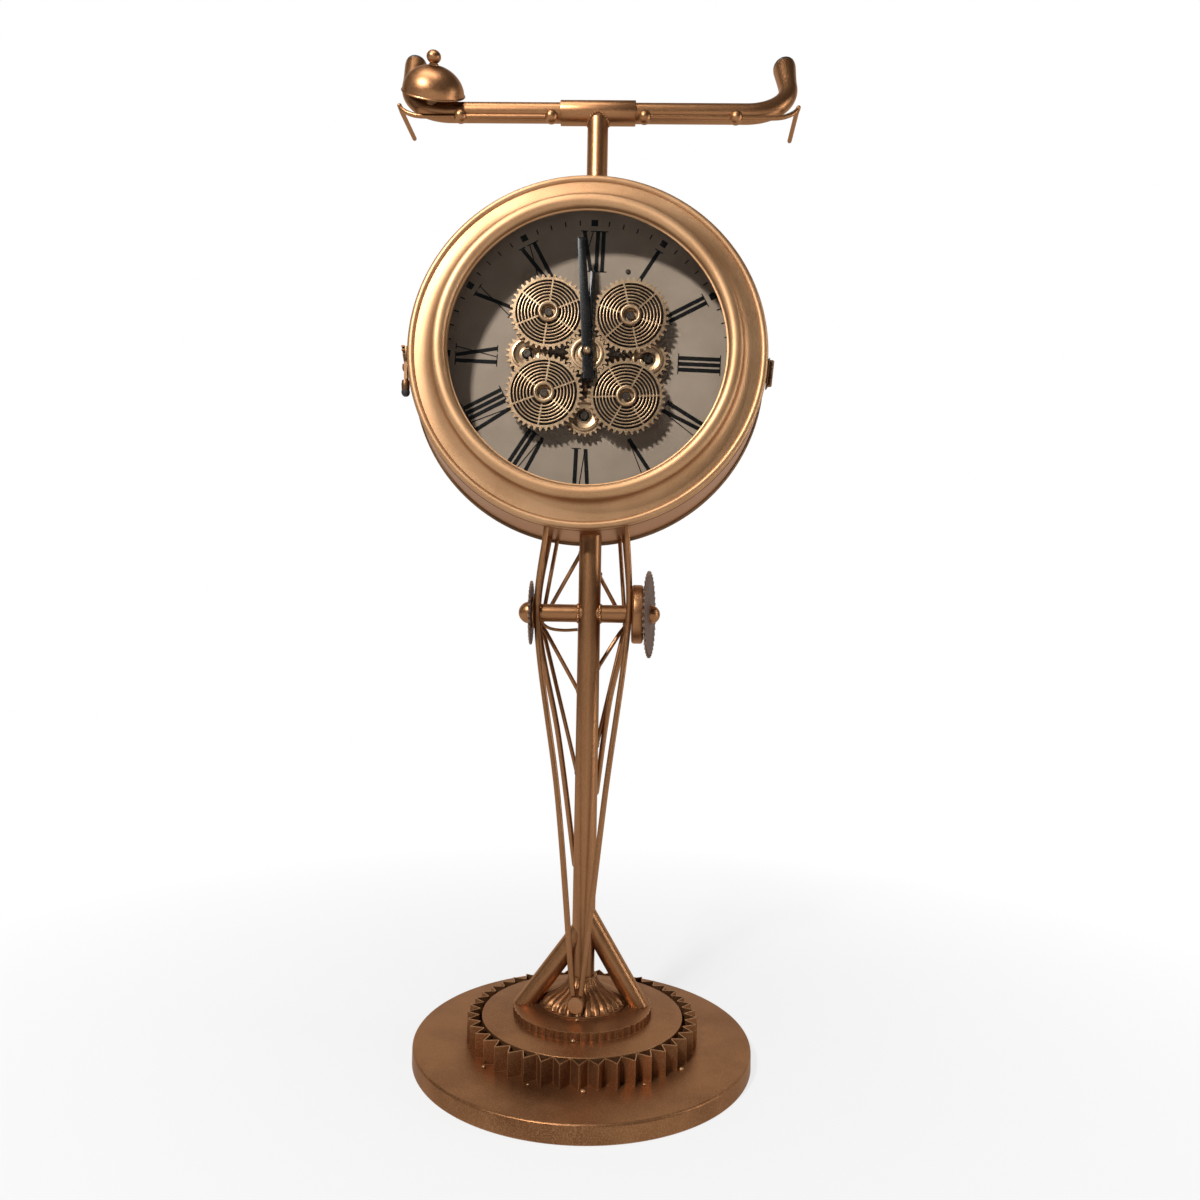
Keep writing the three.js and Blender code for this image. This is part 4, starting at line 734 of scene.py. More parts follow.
# how far across and behind the pole's axis the stout rods and the thin wires end
stout, thin = 16.0 * sqrt(0.5), 15.2 * sqrt(0.5)
for word, side, reach, insets, bows, rear_foot, mid_foot, diag_top, diag_foot in (
    ("left", -1, 58.1, (10, 11, 20), (4, -2.5), 196, 297, 545, 388),
    ("right", 1, 44.1, (4, 5, 11), (1, -3.5), 276, 328, 519, 415),
):
    across = [side * (reach - inset) for inset in insets]
    tops = [(x, y, underside(x)) for x, y in zip(across, (-26, 24, 30))]
    elbow_x, elbow_z = side * (reach - 3), ARM - 11
    rear_end = (side * stout, stout, rear_foot)
    middle_end, high_end, low_end = ((side * thin, thin, z) for z in (mid_foot, diag_top, diag_foot))
    lug_foot = (LUG_HOLD * sin(LUG_TURN) + side * 4.2, -LUG_HOLD, LUG_Z + LUG_HIGH)
    brace(word, "front", bowed(tops[0], (side * reach, -13.5, ARM), lug_foot, bows[0]), 3.2)
    brace(word, "rear", bowed(tops[1], (side * reach, 13.5, ARM), rear_end, bows[1]), 3.2)
    brace(word, "middle", elbow(tops[2], (elbow_x, 24.5, elbow_z), middle_end), 2.4)
    brace(word, "diagonal", elbow(high_end, (elbow_x, 19.4, elbow_z), low_end), 2.4)
    weld_spots += [(side * reach, -11.0, ARM), (side * reach, 11.0, ARM), (elbow_x, 17.5, elbow_z),
                   (elbow_x, 22.0, elbow_z), middle_end, rear_end, high_end, low_end]

bm = bmesh.new()
for spot in weld_spots:
    ball(bm, spot, 3.0, 1.25, 8)
    ball(bm, Vector(spot) + Vector((1.2, 0, 2.2)), 2.2, 1.1, 8)
finish_piece(bm, "brace_welds", copper, STAND)

bm = bmesh.new()
bent(bm, smooth_path([(-58, 8, 468), (-46, 9, 459), (-30, 10, 456.5), (-13, 10, 457.5)], 8), 1.8, 10)
finish_piece(bm, "arm_wire", copper, STAND)

# %% [markdown]
# ## The case
# The case is a drum of spun sheet. Its back rim is rolled into a bead, and the cover sits
# inside it. All of it is one profile spun about the depth axis, with the wall's real thickness,
# so that the drum looks right with its door open too.

# %% Drum, back cover and dial
drum_place = Matrix.Translation((CASE_X, 0, CASE_Z))
drum = [(CASE_RADIUS, -29.5), (201.2, -10), (203.2, 14), (204.9, 33.2), (205.6, 33.8), (206.6, 34.6),
        (207.0, 36.0), (206.6, 37.4), (205.6, 38.3), (204.2, 38.5), (203.3, 37.6), (203.2, 34.6),
        (201.4, 14), (199.4, -10), (197.9, -27.7), (195.2, -27.7), (195.0, -29.5)]
spun("drum", copper, STAND, ["case_shell"], drum, "y", 192, place=drum_place)
# the rolled rear bead is a dark bronze ring laid over the drum's bead: painted shade for the shadowed
# band round the back rim
turns = [radians(t) for t in range(0, 360, 24)]
bead_line = [(205.0 + 2.9 * cos(t), 35.4 + 3.1 * sin(t)) for t in turns]
spun("painted_shade_rear_bead", bronze, STAND, [], bead_line, "y", 192, place=drum_place)

spun("rear_cover", copper, STAND, ["back_cover"],
     [(0, 32.9), (202.4, 32.9), (202.4, 34.5), (188, 34.5), (186, 36.0), (181, 36.2), (179, 34.5),
      (0, 34.5)],
     "y", 160, place=drum_place)

bm = bmesh.new()
for turn in range(4):
    angle = radians(45 + 90 * turn)
    turned(bm, [(0, 38.2), (2.4, 38.0), (4.2, 36.6), (4.6, 34.6), (0, 34.6)], "y", 24,
           at=(194.5 * cos(angle), 0, 194.5 * sin(angle)))
finish_piece(bm, "cover_screws", screw_steel, STAND, place=drum_place)

spun("dial_face", dial_paint, STAND, ["dial_plate"],
     [(6, -8.0), (199.0, -8.0), (199.0, -6.5), (6, -6.5)], "y", 160, place=drum_place)


# %% [markdown]
# ## Numerals and minute track
# The dial is printed with Roman numerals whose feet point to the centre. Each letter is a few
# straight strokes: thick ones, thin ones and hairline serifs. A sheared cube is a stroke with
# level ends, which is just how such letters are drawn. They stand a quarter of a millimetre
# proud, like a thick print.

# %% Strokes and letters
TRAIN_TURN = radians(2.0)
train_place = drum_place @ Matrix.Rotation(TRAIN_TURN, 4, "Y")
INK_LOW, INK_HIGH = -8.25, -7.9


def stroke(bm, low, high, width, place):
    """A level-ended stroke between two (across, up) points."""
    (u0, v0), (u1, v1) = low, high
    shear = Matrix(((width, 0, u1 - u0, (u0 + u1) / 2),
                    (0, INK_HIGH - INK_LOW, 0, (INK_LOW + INK_HIGH) / 2),
                    (0, 0, v1 - v0, (v0 + v1) / 2),
                    (0, 0, 0, 1)))
    bmesh.ops.create_cube(bm, size=1, matrix=place @ shear)


HAIR, SERIF, FOOT, HEAD = 1.1, 1.1, 103.0, 150.5
# a letter's width, its strokes as (across at the foot, across at the head, width), and its
# serifs as (across, foot or head, width)
LETTERS = {
    "I": (6.7, [(3.35, 3.35, 4.5)], [(3.35, FOOT, 10.4), (3.35, HEAD, 10.4)]),
    "V": (14.6, [(7.4, 3.0, 4.4), (8.0, 13.2, HAIR)], [(3.0, HEAD, 8.6), (13.2, HEAD, 6.4)]),
    "X": (15.4, [(12.6, 3.2, 4.4), (2.6, 13.2, HAIR)],
          [(12.6, FOOT, 8.0), (2.6, FOOT, 6.4), (3.2, HEAD, 8.0), (13.2, HEAD, 6.4)]),
}


def letter(bm, kind, u, place):
    """Draws a letter with its left side at u, and returns how wide it is."""
    letter_width, strokes, serifs = LETTERS[kind]
    for low, high, width in strokes:
        stroke(bm, (u + low, FOOT), (u + high, HEAD), width, place)
    for x, v, width in serifs:
        stroke(bm, (u + x, v - SERIF / 2), (u + x, v + SERIF / 2), width, place)
    return letter_width


# %% Print the dial
bm = bmesh.new()
words = ["XII", "I", "II", "III", "IV", "V", "VI", "VII", "VIII", "IX", "X", "XI"]
for hour, word in enumerate(words):
    place = Matrix.Rotation(radians(30 * hour) + TRAIN_TURN, 4, "Y")
    at = -sum(LETTERS[c][0] for c in word) / 2
    for character in word:
        at += letter(bm, character, at, place)
finish_piece(bm, "numerals", dial_ink, STAND, place=drum_place)

bm = bmesh.new()
for minute in range(60):
    place = Matrix.Rotation(radians(6 * minute) + TRAIN_TURN, 4, "Y")
    if minute % 5:
        stroke(bm, (0, 157.5), (0, 163.5), 1.3, place)
    else:
        stroke(bm, (0, 156.6), (0, 164.0), 7.6, place)
finish_piece(bm, "minute_track", dial_ink, STAND, place=drum_place)
print("numerals:", len(words))

# %% [markdown]
# ## The door
# The gold ring is the brightest thing on the clock. From the outside in, its sheet rolls over
# the edge, sinks into a wide cove, steps up to a fat bead and turns in to hold the glass. The
# profile is drawn once with its inner skin and spun in many steps, so highlights run clean.

# %% Door ring and glass
def quadratic(start, control, end, steps):
    """Points of a curve that the control point pulls."""
    points = []
    for i in range(steps + 1):
        t = i / steps
        points.append(tuple(a * (1 - t) ** 2 + 2 * b * t * (1 - t) + c * t ** 2
                            for a, b, c in zip(start, control, end)))
    return points


turns = [radians(t) for t in range(0, 151, 15)]
roll = [(194.5 + 4.5 * cos(t), -38 - 4.5 * sin(t)) for t in turns]
cove = quadratic(roll[-1], (172.6, -41.2), (170.4, -50.6), 10)
turns = [radians(t) for t in range(0, 181, 12)]
bead = [(161.9 + 8.1 * cos(t), -52 - 8 * sin(t) ** 0.75) for t in turns]
inner = [(154.4, -51.6), (153.2, -50.4), (152.0, -50.3), (156.9, -50.3), (156.9, -46.7), (166.5, -46.7),
         (168.6, -46.0), (172.6, -40.0), (180.5, -38.9), (190.0, -37.0), (197.4, -34.6), (197.4, -30.2),
         (199.0, -30.2)]
spun("gold_door_ring", gold, DOOR, ["door_ring"], roll + cove[1:] + bead + inner, "y", 224,
     place=drum_place, sharp=50)

spun("glass_pane", door_glass, DOOR, ["door_glass"],
     [(0, -50.0), (156.5, -50.0), (156.5, -47.0), (0, -47.0)], "y", 128, place=drum_place)

# %% [markdown]
# ## The train
# Four wheels pierced like lace carry pinions behind them, and three idlers and a centre wheel
# join them. A lace wheel is a toothed rim, six thin rings, six spokes and a boss. Each is its
# own spun or stamped shape in one mesh, and the rings run through the spokes, as in a casting.

# %% Wheels
PINION_BACK, PINION_FRONT = -15.0, -18.5
WHEEL_BACK, WHEEL_FRONT = -24.0, -27.0
WHEEL_MODULE = 2 * 46 * sqrt(2) / 62
IDLER_MODULE = 2 * hypot(22, 46) / 50


def gear_rim(bm, teeth, module, inner, low, high, phase, steps):
    """A toothed ring between two depths, facing the viewer."""
    pitch = teeth * module / 2
    outline = toothed(teeth, pitch + 0.72 * module, pitch - 1.05 * module, phase)
    verts = slab(bm, outline, low - high, "y", [circle(inner, steps)])
    bmesh.ops.translate(bm, vec=(0, low, 0), verts=verts)


def mesh_phase(teeth, driver_teeth, driver_phase, direction):
    """The phase that sets a wheel's teeth in its driver's gaps. Direction is from driver to wheel."""
    return direction + pi - (pi - driver_teeth * (direction - driver_phase)) / teeth


def painted_shade_disc(name, body, place, inner, outer, front, depth):
    """A painted shade: a dark disc behind the thin rings of a casting, for the shade in its gaps."""
    sheet = [(inner, front), (outer, front), (outer, front + depth), (inner, front + depth)]
    spun(name, gear_painted_shade, body, [], sheet, "y", 64, place=place)


def wheel(name, node_name, body, x, z, phase, pinion_phase):
    """One lace wheel with its pinion, its disc of painted shade and its boss."""
    place = train_place @ Matrix.Translation((x, 0, z))
    bm = bmesh.new()
    gear_rim(bm, 40, WHEEL_MODULE, 37.2, WHEEL_BACK, WHEEL_FRONT, phase, 72)
    for radius in (33.9, 30.2, 26.5, 22.8, 19.1, 15.4):
        ring = ring_profile(radius - 0.68, radius + 0.68, WHEEL_FRONT - 0.2, WHEEL_BACK - 0.2, 0.3)
        turned(bm, ring, "y", 64)
    for spoke in range(6):
        turn = Matrix.Rotation(phase + spoke * pi / 3, 4, "Y")
        block(bm, (23.5, (WHEEL_BACK + WHEEL_FRONT) / 2 - 0.15, 0), (28.6, 2.9, 1.7), turn)
    turned(bm, [(7.6, -24.2), (7.6, -28.4), *arc(9.9, -28.4, 2.3, 180, 360, 8), (12.2, -24.2)], "y", 56)
    turned(bm, [(3.0, -22.4), (3.0, -24.4), (7.8, -24.4), (7.4, -13.6), (3.0, -13.6)], "y", 32)
    gear_rim(bm, 28, IDLER_MODULE, 7.0, PINION_BACK, PINION_FRONT, pinion_phase, 32)
    # the dark disc behind the rings is painted shade
    painted_shade_disc(name + "_painted_shade", body, place, 7.5, 37.6, -24.5, 0.4)
    finish_piece(bm, name, gear_gold, body, [node_name], sharp=30, place=place)


# %% Idlers and the centre wheel
def idler(name, node_name, body, x, z, phase):
    """A small toothed ring with a dished front and a screw's seat."""
    place = train_place @ Matrix.Translation((x, 0, z))
    bm = bmesh.new()
    gear_rim(bm, 22, IDLER_MODULE, 17.6, PINION_BACK, PINION_FRONT, phase, 40)
    dish = [(6.2, -15.0), (17.8, -15.0), (17.8, -18.6), (17.2, -19.9), (15.6, -20.2), (14.6, -19.4),
            (13.6, -17.4), (9.0, -16.4), (7.4, -17.0), (6.2, -17.2)]
    turned(bm, dish, "y", 56)
    seat = [(3.0, -15.2), (6.6, -15.2), (6.6, -16.0), (4.7, -16.4), (4.7, -13.4), (3.0, -13.4)]
    turned(bm, seat, "y", 24)
    # the dark disc round the seat is painted shade in the dish's hollow
    painted_shade_disc(name + "_painted_shade", body, place, 4.2, 7.4, -17.1, 0.3)
    finish_piece(bm, name, gear_gold, body, [node_name], sharp=30, place=place)


def centre_wheel(phase):
    """The wheel under the hands, with three plain rings on it."""
    bm = bmesh.new()
    gear_rim(bm, 22, WHEEL_MODULE, 15.0, WHEEL_BACK, WHEEL_FRONT, phase, 40)
    for inner, outer, front, round_over, steps in (
        (14.6, 18.2, -28.4, 0.5, 56), (5.5, 10.2, -27.7, 0.5, 56), (9.8, 15.0, -25.6, 0.3, 48),
    ):
        turned(bm, ring_profile(inner, outer, front, WHEEL_BACK, round_over), "y", steps)
    finish_piece(bm, "centre_gear", gear_gold, "middle_wheel", ["center_wheel"], sharp=30,
                 place=train_place)


# %% Set the train in mesh
CENTRE_PHASE = pi / 2
centre_wheel(-CENTRE_PHASE)
spots = {
    "upper_left": (-46, 46), "upper_right": (46, 46), "lower_left": (-46, -46), "lower_right": (46, -46),
    "left": (-68, 0), "right": (68, 0), "lower": (0, -68),
}
rear = {"upper_left": 0.0}
for name, driver in (("left", "upper_left"), ("lower_left", "left"), ("lower", "lower_left"),
                     ("lower_right", "lower"), ("right", "lower_right"), ("upper_right", "right")):
    (x0, z0), (x1, z1) = spots[driver], spots[name]
    # a corner's pinion has 28 teeth and an idler 22
    teeth, driver_teeth = (28 if "_" in word else 22 for word in (name, driver))
    rear[name] = mesh_phase(teeth, driver_teeth, rear[driver], atan2(z1 - z0, x1 - x0))

# the outlines were drawn on x and y and then stood up, which turns y into z
for name, (x, z) in spots.items():
    if "_" in name:
        phase = mesh_phase(40, 22, CENTRE_PHASE, atan2(z, x))
        piece = name.replace("_", "") + "_lace_wheel"
        wheel(piece, "wheel_" + name, name + "_wheel", x, z, phase, rear[name])
    else:
        idler(name + "_dished_wheel", "idler_" + name, name + "_idler", x, z, rear[name])
print("wheels in mesh:", len(spots) + 1)

# %% [markdown]
# ## The bridge and its screws
# The posts stand on a dark spider that is hardly seen. What shows is the screw in each boss,
# with a hollow in its head. Behind the dial sits the movement, whose spindle comes through.

# %% Bridge, screws and movement
bm = bmesh.new()
turned(bm, [(5.3, -23.5), (10.0, -23.5), (10.0, -8.3), (5.3, -8.3)], "y", 40)
for x, z in spots.values():
    length = hypot(x, z)
    turn = Matrix.Rotation(-atan2(z, x), 4, "Y")
    block(bm, (length / 2 + 3, -9.55, 0), (length - 6, 2.5, 9), turn)
    front = -25.4 if abs(x) == abs(z) else -18.5
    post = [(0, front - 0.6), (2.3, front - 0.6), (2.3, -12.7), (4.8, -12.7), (4.8, -8.3), (0, -8.3)]
    turned(bm, post, "y", 28, at=(x, 0, z))
finish_piece(bm, "dark_spider", bronze, STAND, ["train_bridge"], sharp=30,
             place=train_place)

bm = bmesh.new()
for x, z in spots.values():
    front = -26.05 if abs(x) == abs(z) else -18.95
    profile = [(0, front - 1.0), (1.6, front - 1.1), (2.0, front - 1.5), (3.9, front - 1.5),
               (4.6, front - 0.9), (4.7, front), (0, front)]
    turned(bm, profile, "y", 28, at=(x, 0, z))
# one small screw stands alone on the dial
turned(bm, [(0, -9.6), (2.2, -9.4), (3.0, -8.6), (3.0, -8.0), (0, -8.0)], "y", 20, at=(41.0, 0, 104.5))
finish_piece(bm, "train_screws", screw_steel, STAND, place=train_place)

bm = bmesh.new()
block(bm, (0, 2, 0), (58, 17, 58))
soften(bm, 2.5, 3)
turned(bm, [(4, -29.4), (4.8, -29.4), (5, -29.0), (5, -5), (4, -5)], "y", 32)
finish_piece(bm, "movement_box", black_plastic, STAND, ["movement"], place=train_place)
bm = bmesh.new()
bmesh.ops.create_cone(bm, cap_ends=True, segments=6, radius1=7.5, radius2=7.5, depth=2.0,
                      matrix=Matrix.Translation((0, -29.15, 0)) @ Matrix.Rotation(pi / 2, 4, "X"))
soften(bm, 0.4)
finish_piece(bm, "spindle_nut", screw_steel, STAND, place=train_place)


# %% [markdown]
# ## The hands
# The hands are tapered batons of black sheet. Real ones are stamped with a slightly raised
# spine, which gives the long thin highlight, so the front face is inset and pushed forward.

# %% Hands
def baton(bm, length, tail, tip_width, tail_width, back, sheet):
    """A tapered hand of sheet with a raised spine."""
    broad, narrow = tail_width / 2, tip_width / 2
    outline = [(-broad, -tail), (broad, -tail), (narrow, length), (-narrow, length)]
    verts = slab(bm, outline, sheet * 0.5, "y")
    bmesh.ops.translate(bm, vec=(0, back, 0), verts=verts)
    front = [f for f in bm.faces if f.calc_center_median().y < back - sheet * 0.45]
    bmesh.ops.dissolve_faces(bm, faces=front)
    front = [f for f in bm.faces if f.calc_center_median().y < back - sheet * 0.45]
    bmesh.ops.inset_region(bm, faces=front, thickness=tip_width * 0.40, use_even_offset=True)
    ridge = {v for f in front for v in f.verts}
    bmesh.ops.translate(bm, vec=(0, -sheet * 0.5, 0), verts=list(ridge))


bm = bmesh.new()
baton(bm, 93, 20, 5.6, 9.0, -31.2, 1.3)
turned(bm, [(2.45, -31.6), (3.5, -31.6), (3.5, -18.4), (2.45, -18.4)], "y", 24)
turned(bm, ring_profile(2.4, 6.4, -32.4, -31.2, 0.2), "y", 32)
finish_piece(bm, "black_hour_hand", black_enamel, "hour", ["hour_hand"], sharp=12,
             place=drum_place @ Matrix.Rotation(radians(3.1), 4, "Y"))
bm = bmesh.new()
baton(bm, 130, 31, 8.4, 12.4, -34.6, 1.3)
turned(bm, [(0, -35.8), (6.6, -35.8), (6.8, -34.6), (2.0, -34.6), (2.0, -18.4), (0, -18.4)], "y", 32)
finish_piece(bm, "black_minute_hand", black_enamel, "minute", ["minute_hand"], sharp=12,
             place=drum_place @ Matrix.Rotation(radians(-3.8), 4, "Y"))
turns = [radians(t) for t in range(10, 91, 10)]
nut = [(0, -41.8), *[(4.4 * sin(t), -36.2 - 5.6 * cos(t)) for t in turns], (0, -36.2)]
spun("cap_nut", gear_gold, "minute", ["hand_nut"], nut, "y", 32, place=drum_place)

# %% [markdown]
# ## Hinge and latch
# The hinge is a three-knuckle butt on the right. The latch on the left is a small lever that
# drops over a peg, with a rubber tip to pull it by. Both are plain bronze fittings.

# %% Hinge
hinge_place = drum_place @ Matrix.Rotation(radians(6.0), 4, "Y")
AXLE = (203.6, -30.0)
bm = bmesh.new()
for low, high in ((-14.4, -5.0), (5.0, 14.4)):
    turned(bm, disc_profile(3.2, low, high, 0.5), "z", 32, at=(*AXLE, 0))
turned(bm, disc_profile(1.3, -14.4, 14.4, 0.2), "z", 20, at=(*AXLE, 0))
block(bm, (202.6, -22.0, 0), (1.4, 9, 28.8))
for z in (-9.7, 9.7):
    block(bm, (202.6, -28, z), (1.4, 4, 9.4))
for z in (-9, 9):
    turned(bm, [(0, 204.3), (1.4, 204.1), (2.0, 203.3), (0, 203.3)], "x", 16, at=(0, -20.5, z))
finish_piece(bm, "hinge_leaf_and_pin", bronze, STAND, ["hinge_leaf_case"], place=hinge_place)
bm = bmesh.new()
turned(bm, [(1.6, -4.7), (3.2, -4.7), (3.2, 4.7), (1.6, 4.7)], "z", 32, at=(*AXLE, 0))
block(bm, (200.0, -35.8, 0), (1.4, 4.4, 28.8))
block(bm, (200.8, -32.7, 0), (3.0, 2.2, 9.4))
finish_piece(bm, "hinge_leaf_on_door", bronze, DOOR, ["hinge_leaf_door"], place=hinge_place)

# %% Latch
latch_place = drum_place @ Matrix.Rotation(radians(-2.35), 4, "Y")
PIVOT_Y, PIVOT_Z = -22, -8
bm = bmesh.new()
for radius, low, high, round_over, steps in (
    (6.0, -201.8, -198.6, 0.4, 32), (2.0, -205.8, -201.0, 0.2, 20), (4.0, -207.4, -205.8, 0.5, 28),
):
    turned(bm, disc_profile(radius, low, high, round_over), "x", steps, at=(0, PIVOT_Y, PIVOT_Z))
finish_piece(bm, "latch_seat", bronze, STAND, ["latch_pad"], place=latch_place)
bm = bmesh.new()
# the lever's outline from the side, as (depth, up) about its pivot
lever = [(4, -14.6), (4, 8), (-6.8, 20), (-16, 20), (-16, 18.1), (-9.9, 18.1), (-9.9, 12),
         (-4, 5.3), (-4, -14.6)]
slab(bm, [(-z, y) for y, z in lever], 3.4, "x", [circle(2.45, 16)])
bmesh.ops.translate(bm, vec=(-205.5, PIVOT_Y, PIVOT_Z), verts=bm.verts)
grip = [(0, -34.6), (3.6, -34.6), (4.4, -33.4), (4.6, -27), (4.0, -23.0), (0, -22.4)]
turned(bm, grip, "z", 32, at=(-204.6, PIVOT_Y, 0))
finish_piece(bm, "latch_lever_arm", bronze, "latch", ["latch_lever"], place=latch_place)
spun("latch_pull", black_rubber, "latch", ["latch_tip"],
     [(0, -40.9), (2.4, -40.9), (3.8, -39.6), (4.7, -37.4), (4.7, -34.9), (0, -34.9)], "z", 32,
     at=(-204.6, PIVOT_Y, 0), place=latch_place)
bm = bmesh.new()
block(bm, (-200.4, -34.1, 4.6), (2.6, 6.2, 13.2))
soften(bm, 0.5)
turned(bm, disc_profile(1.7, -205.7, -199.4, 0.3), "x", 20, at=(0, -34, 8))
finish_piece(bm, "latch_peg", bronze, DOOR, ["latch_keeper"], place=latch_place)

# %% [markdown]
# ## The handlebar
# A bicycle bar is bent tube: straight in the middle, a quarter bend at each side, and a
# straight end with a sleeve and a plug. Its bends lean back, so the ends rise behind the
# clock. The path is measured along the tube, which keeps the rings evenly spaced.

# %% Bar, clamp and stem
BAR_Z, BAR_RADIUS, SLEEVE_RADIUS = 1061.0, 11.0, 13.4
BAR_STRAIGHT, BAR_BEND, BAR_END = 172.0, 54.0, 43.5
RISE = radians(63)
BEND_LENGTH = pi / 2 * BAR_BEND
BAR_HALF = BAR_STRAIGHT + BEND_LENGTH + BAR_END


def bar_point(distance, side):
    """A point on the bar's centre line, so far from its middle."""
    straight = min(distance, BAR_STRAIGHT)
    bend = min(max(distance - BAR_STRAIGHT, 0), BEND_LENGTH)
    rest = distance - straight - bend
    angle = bend / BAR_BEND
    up = BAR_BEND * (1 - cos(angle)) + rest
    out = straight + BAR_BEND * sin(angle)
    return Vector((side * out, up * cos(RISE), BAR_Z + up * sin(RISE)))


bm = bmesh.new()
stations = [i * BAR_STRAIGHT / 8 for i in range(8)]
stations += [BAR_STRAIGHT + i * BEND_LENGTH / 28 for i in range(29)] + [BAR_HALF - 20, BAR_HALF]
path = [bar_point(d, -1) for d in reversed(stations)] + [bar_point(d, 1) for d in stations[1:]]
bent(bm, path, BAR_RADIUS, 40)
finish_piece(bm, "bent_handlebar", copper, STAND, ["handlebar"])

sleeve = [(0, -40), (BAR_RADIUS, -40), (11.4, -30), (12.7, -12), (SLEEVE_RADIUS, -2),
          (SLEEVE_RADIUS, 0), (0, 0)]
plug = [(0, 7.0), (5.2, 6.6), (9.3, 5.6), (12.1, 4.4), (13.1, 3.2), (13.3, 2.0), (13.3, 0.6),
        (12.9, 0), (0, 0)]
tilt = Matrix.Rotation(RISE - pi / 2, 4, "X")
for side, word in SIDES:
    end, beyond = (Matrix.Translation(bar_point(BAR_HALF + gap, side)) @ tilt for gap in (0, 0.3))
    spun("end_sleeve_" + word, copper, STAND, [], sleeve, "z", 48, place=end)
    spun("end_plug_" + word, black_plastic, STAND, ["grip_plug_" + word], plug, "z", 48, place=beyond)

spun("clamp_sleeve", copper, STAND, ["bar_clamp"], ring_profile(11.2, SLEEVE_RADIUS, -43.75, 43.75, 0.5),
     "x", 56, at=(0, 0, BAR_Z))
bm = bmesh.new()
rod(bm, (0, 0, 963), (0, 0, BAR_Z - 10), 12, 48)
finish_piece(bm, "bar_stem", copper, STAND, ["stem"])
bm = bmesh.new()
for i in range(30):
    angle = 2 * pi * i / 30
    x, y = 12.2 * cos(angle), 12.2 * sin(angle)
    z = BAR_Z - sqrt(SLEEVE_RADIUS ** 2 - y ** 2) - 0.2
    ball(bm, (x, y, z), 1.9 + 0.3 * sin(i * 2.1), 0.9, 6)
finish_piece(bm, "stem_weld", copper, STAND)

# %% [markdown]
# ## Brake rods
# Along the front of the bar runs a thin rod on each side, held by two balls. At the bend it
# swings up and out to a straight lever that points back, as an old rod brake's does.

# %% Brake rods with balls and levers
HOOK_X, HOOK_Z = BAR_STRAIGHT + BAR_BEND + 4.6, BAR_Z + 0.5
ROD_Y, ROD_Z, ROD_RADIUS = -12.8, BAR_Z - 13.2, 2.65
TIP_LEAN, TIP_Y = 3.5, 51.5
RUN = [(53.8, ROD_Y, ROD_Z), (158.9, ROD_Y, ROD_Z), (190, ROD_Y, ROD_Z), (211, -12.7, ROD_Z + 1.0),
       (221, -12.1, ROD_Z + 4.6), (227, -10.6, ROD_Z + 9.0), (HOOK_X, -8.5, HOOK_Z)]
for side, word in SIDES:
    bm = bmesh.new()
    bent(bm, smooth_path([(side * x, y, z) for x, y, z in RUN], 8), ROD_RADIUS, 18)
    # the left lever is bent in a little at its end, and the right one out
    hook, tip = (side * HOOK_X, -11.1, HOOK_Z), (side * HOOK_X + TIP_LEAN, TIP_Y, HOOK_Z)
    bent(bm, [hook, (side * HOOK_X, 0, HOOK_Z), tip], ROD_RADIUS, 18)
    for end in (hook, tip):
        ball(bm, end, ROD_RADIUS)
    for x, y, z in RUN[:2]:
        ball(bm, (side * x, y, z), 7.7, 1.0, 18)
    finish_piece(bm, "brake_linkage_" + word, copper, STAND, ["brake_rod_" + word])

# %% [markdown]
# ## The bell
# The bell is a spun dome with a rolled lip, on a stud on the bar's bend, and a round knob
# screws down on top. It stands square to the tube there and leans forward, so its place is a
# small frame of three directions: along the tube, up through the bell, and across.

# %% Bell
ARC, FORWARD = radians(24.4), radians(42)
BELL_RADIUS, BELL_HEIGHT, BELL_RIM, BELL_WALL = 35.7, 28.6, 17.2, 1.4
along = Vector((cos(ARC), -sin(ARC) * cos(RISE), -sin(ARC) * sin(RISE)))
lean = Vector((0, -sin(FORWARD), cos(FORWARD)))
up = (lean - along * lean.dot(along)).normalized()
across = up.cross(along)
bell_place = Matrix.Translation(bar_point(BAR_STRAIGHT + BAR_BEND * ARC, -1)) @ Matrix((
    (along.x, across.x, up.x, 0), (along.y, across.y, up.y, 0), (along.z, across.z, up.z, 0),
    (0, 0, 0, 1)))


def bell_curve(inset, start, end, step):
    """Points of the dome's skin, so far inside its outside."""
    turns = [radians(t) for t in range(start, end, step)]
    radius, height = BELL_RADIUS - inset, BELL_HEIGHT - inset
    return [(radius * cos(t), BELL_RIM + height * sin(t)) for t in turns]


CROWN = BELL_RIM + BELL_HEIGHT
lip = [(35.8, 18.8), (36.7, 18.4), (36.9, 17.7), (36.5, 17.2)]
shell = [(4.0, CROWN - 0.1), *bell_curve(0, 84, 3, -5), *lip, *bell_curve(BELL_WALL, 0, 83, 6),
         (4.0, CROWN - 1.5)]
spun("bell_shell", copper, STAND, ["bell_dome"], shell, place=bell_place, sharp=55)
spun("bell_stud", bronze, STAND, ["bell_bolt"],
     [(0, 7), (9, 7), (9, 16), (7.5, 17), (3.7, 17.2), (3.7, CROWN + 0.3), (0, CROWN + 0.3)], "z", 32,
     place=bell_place)
KNOB_HALF = 6.9
KNOB = CROWN + 0.6 + 0.8 + KNOB_HALF
turns = [radians(t) for t in range(32, 180, 12)]
knob = [(0, CROWN + 0.6), (5.4, CROWN + 0.6), (5.2, CROWN + 1.3), (4.4, CROWN + 1.8),
        *[(8.2 * sin(t), KNOB - KNOB_HALF * cos(t)) for t in turns], (0, KNOB + KNOB_HALF)]
spun("bell_ball", copper, STAND, ["bell_knob"], knob, "z", 40, place=bell_place)

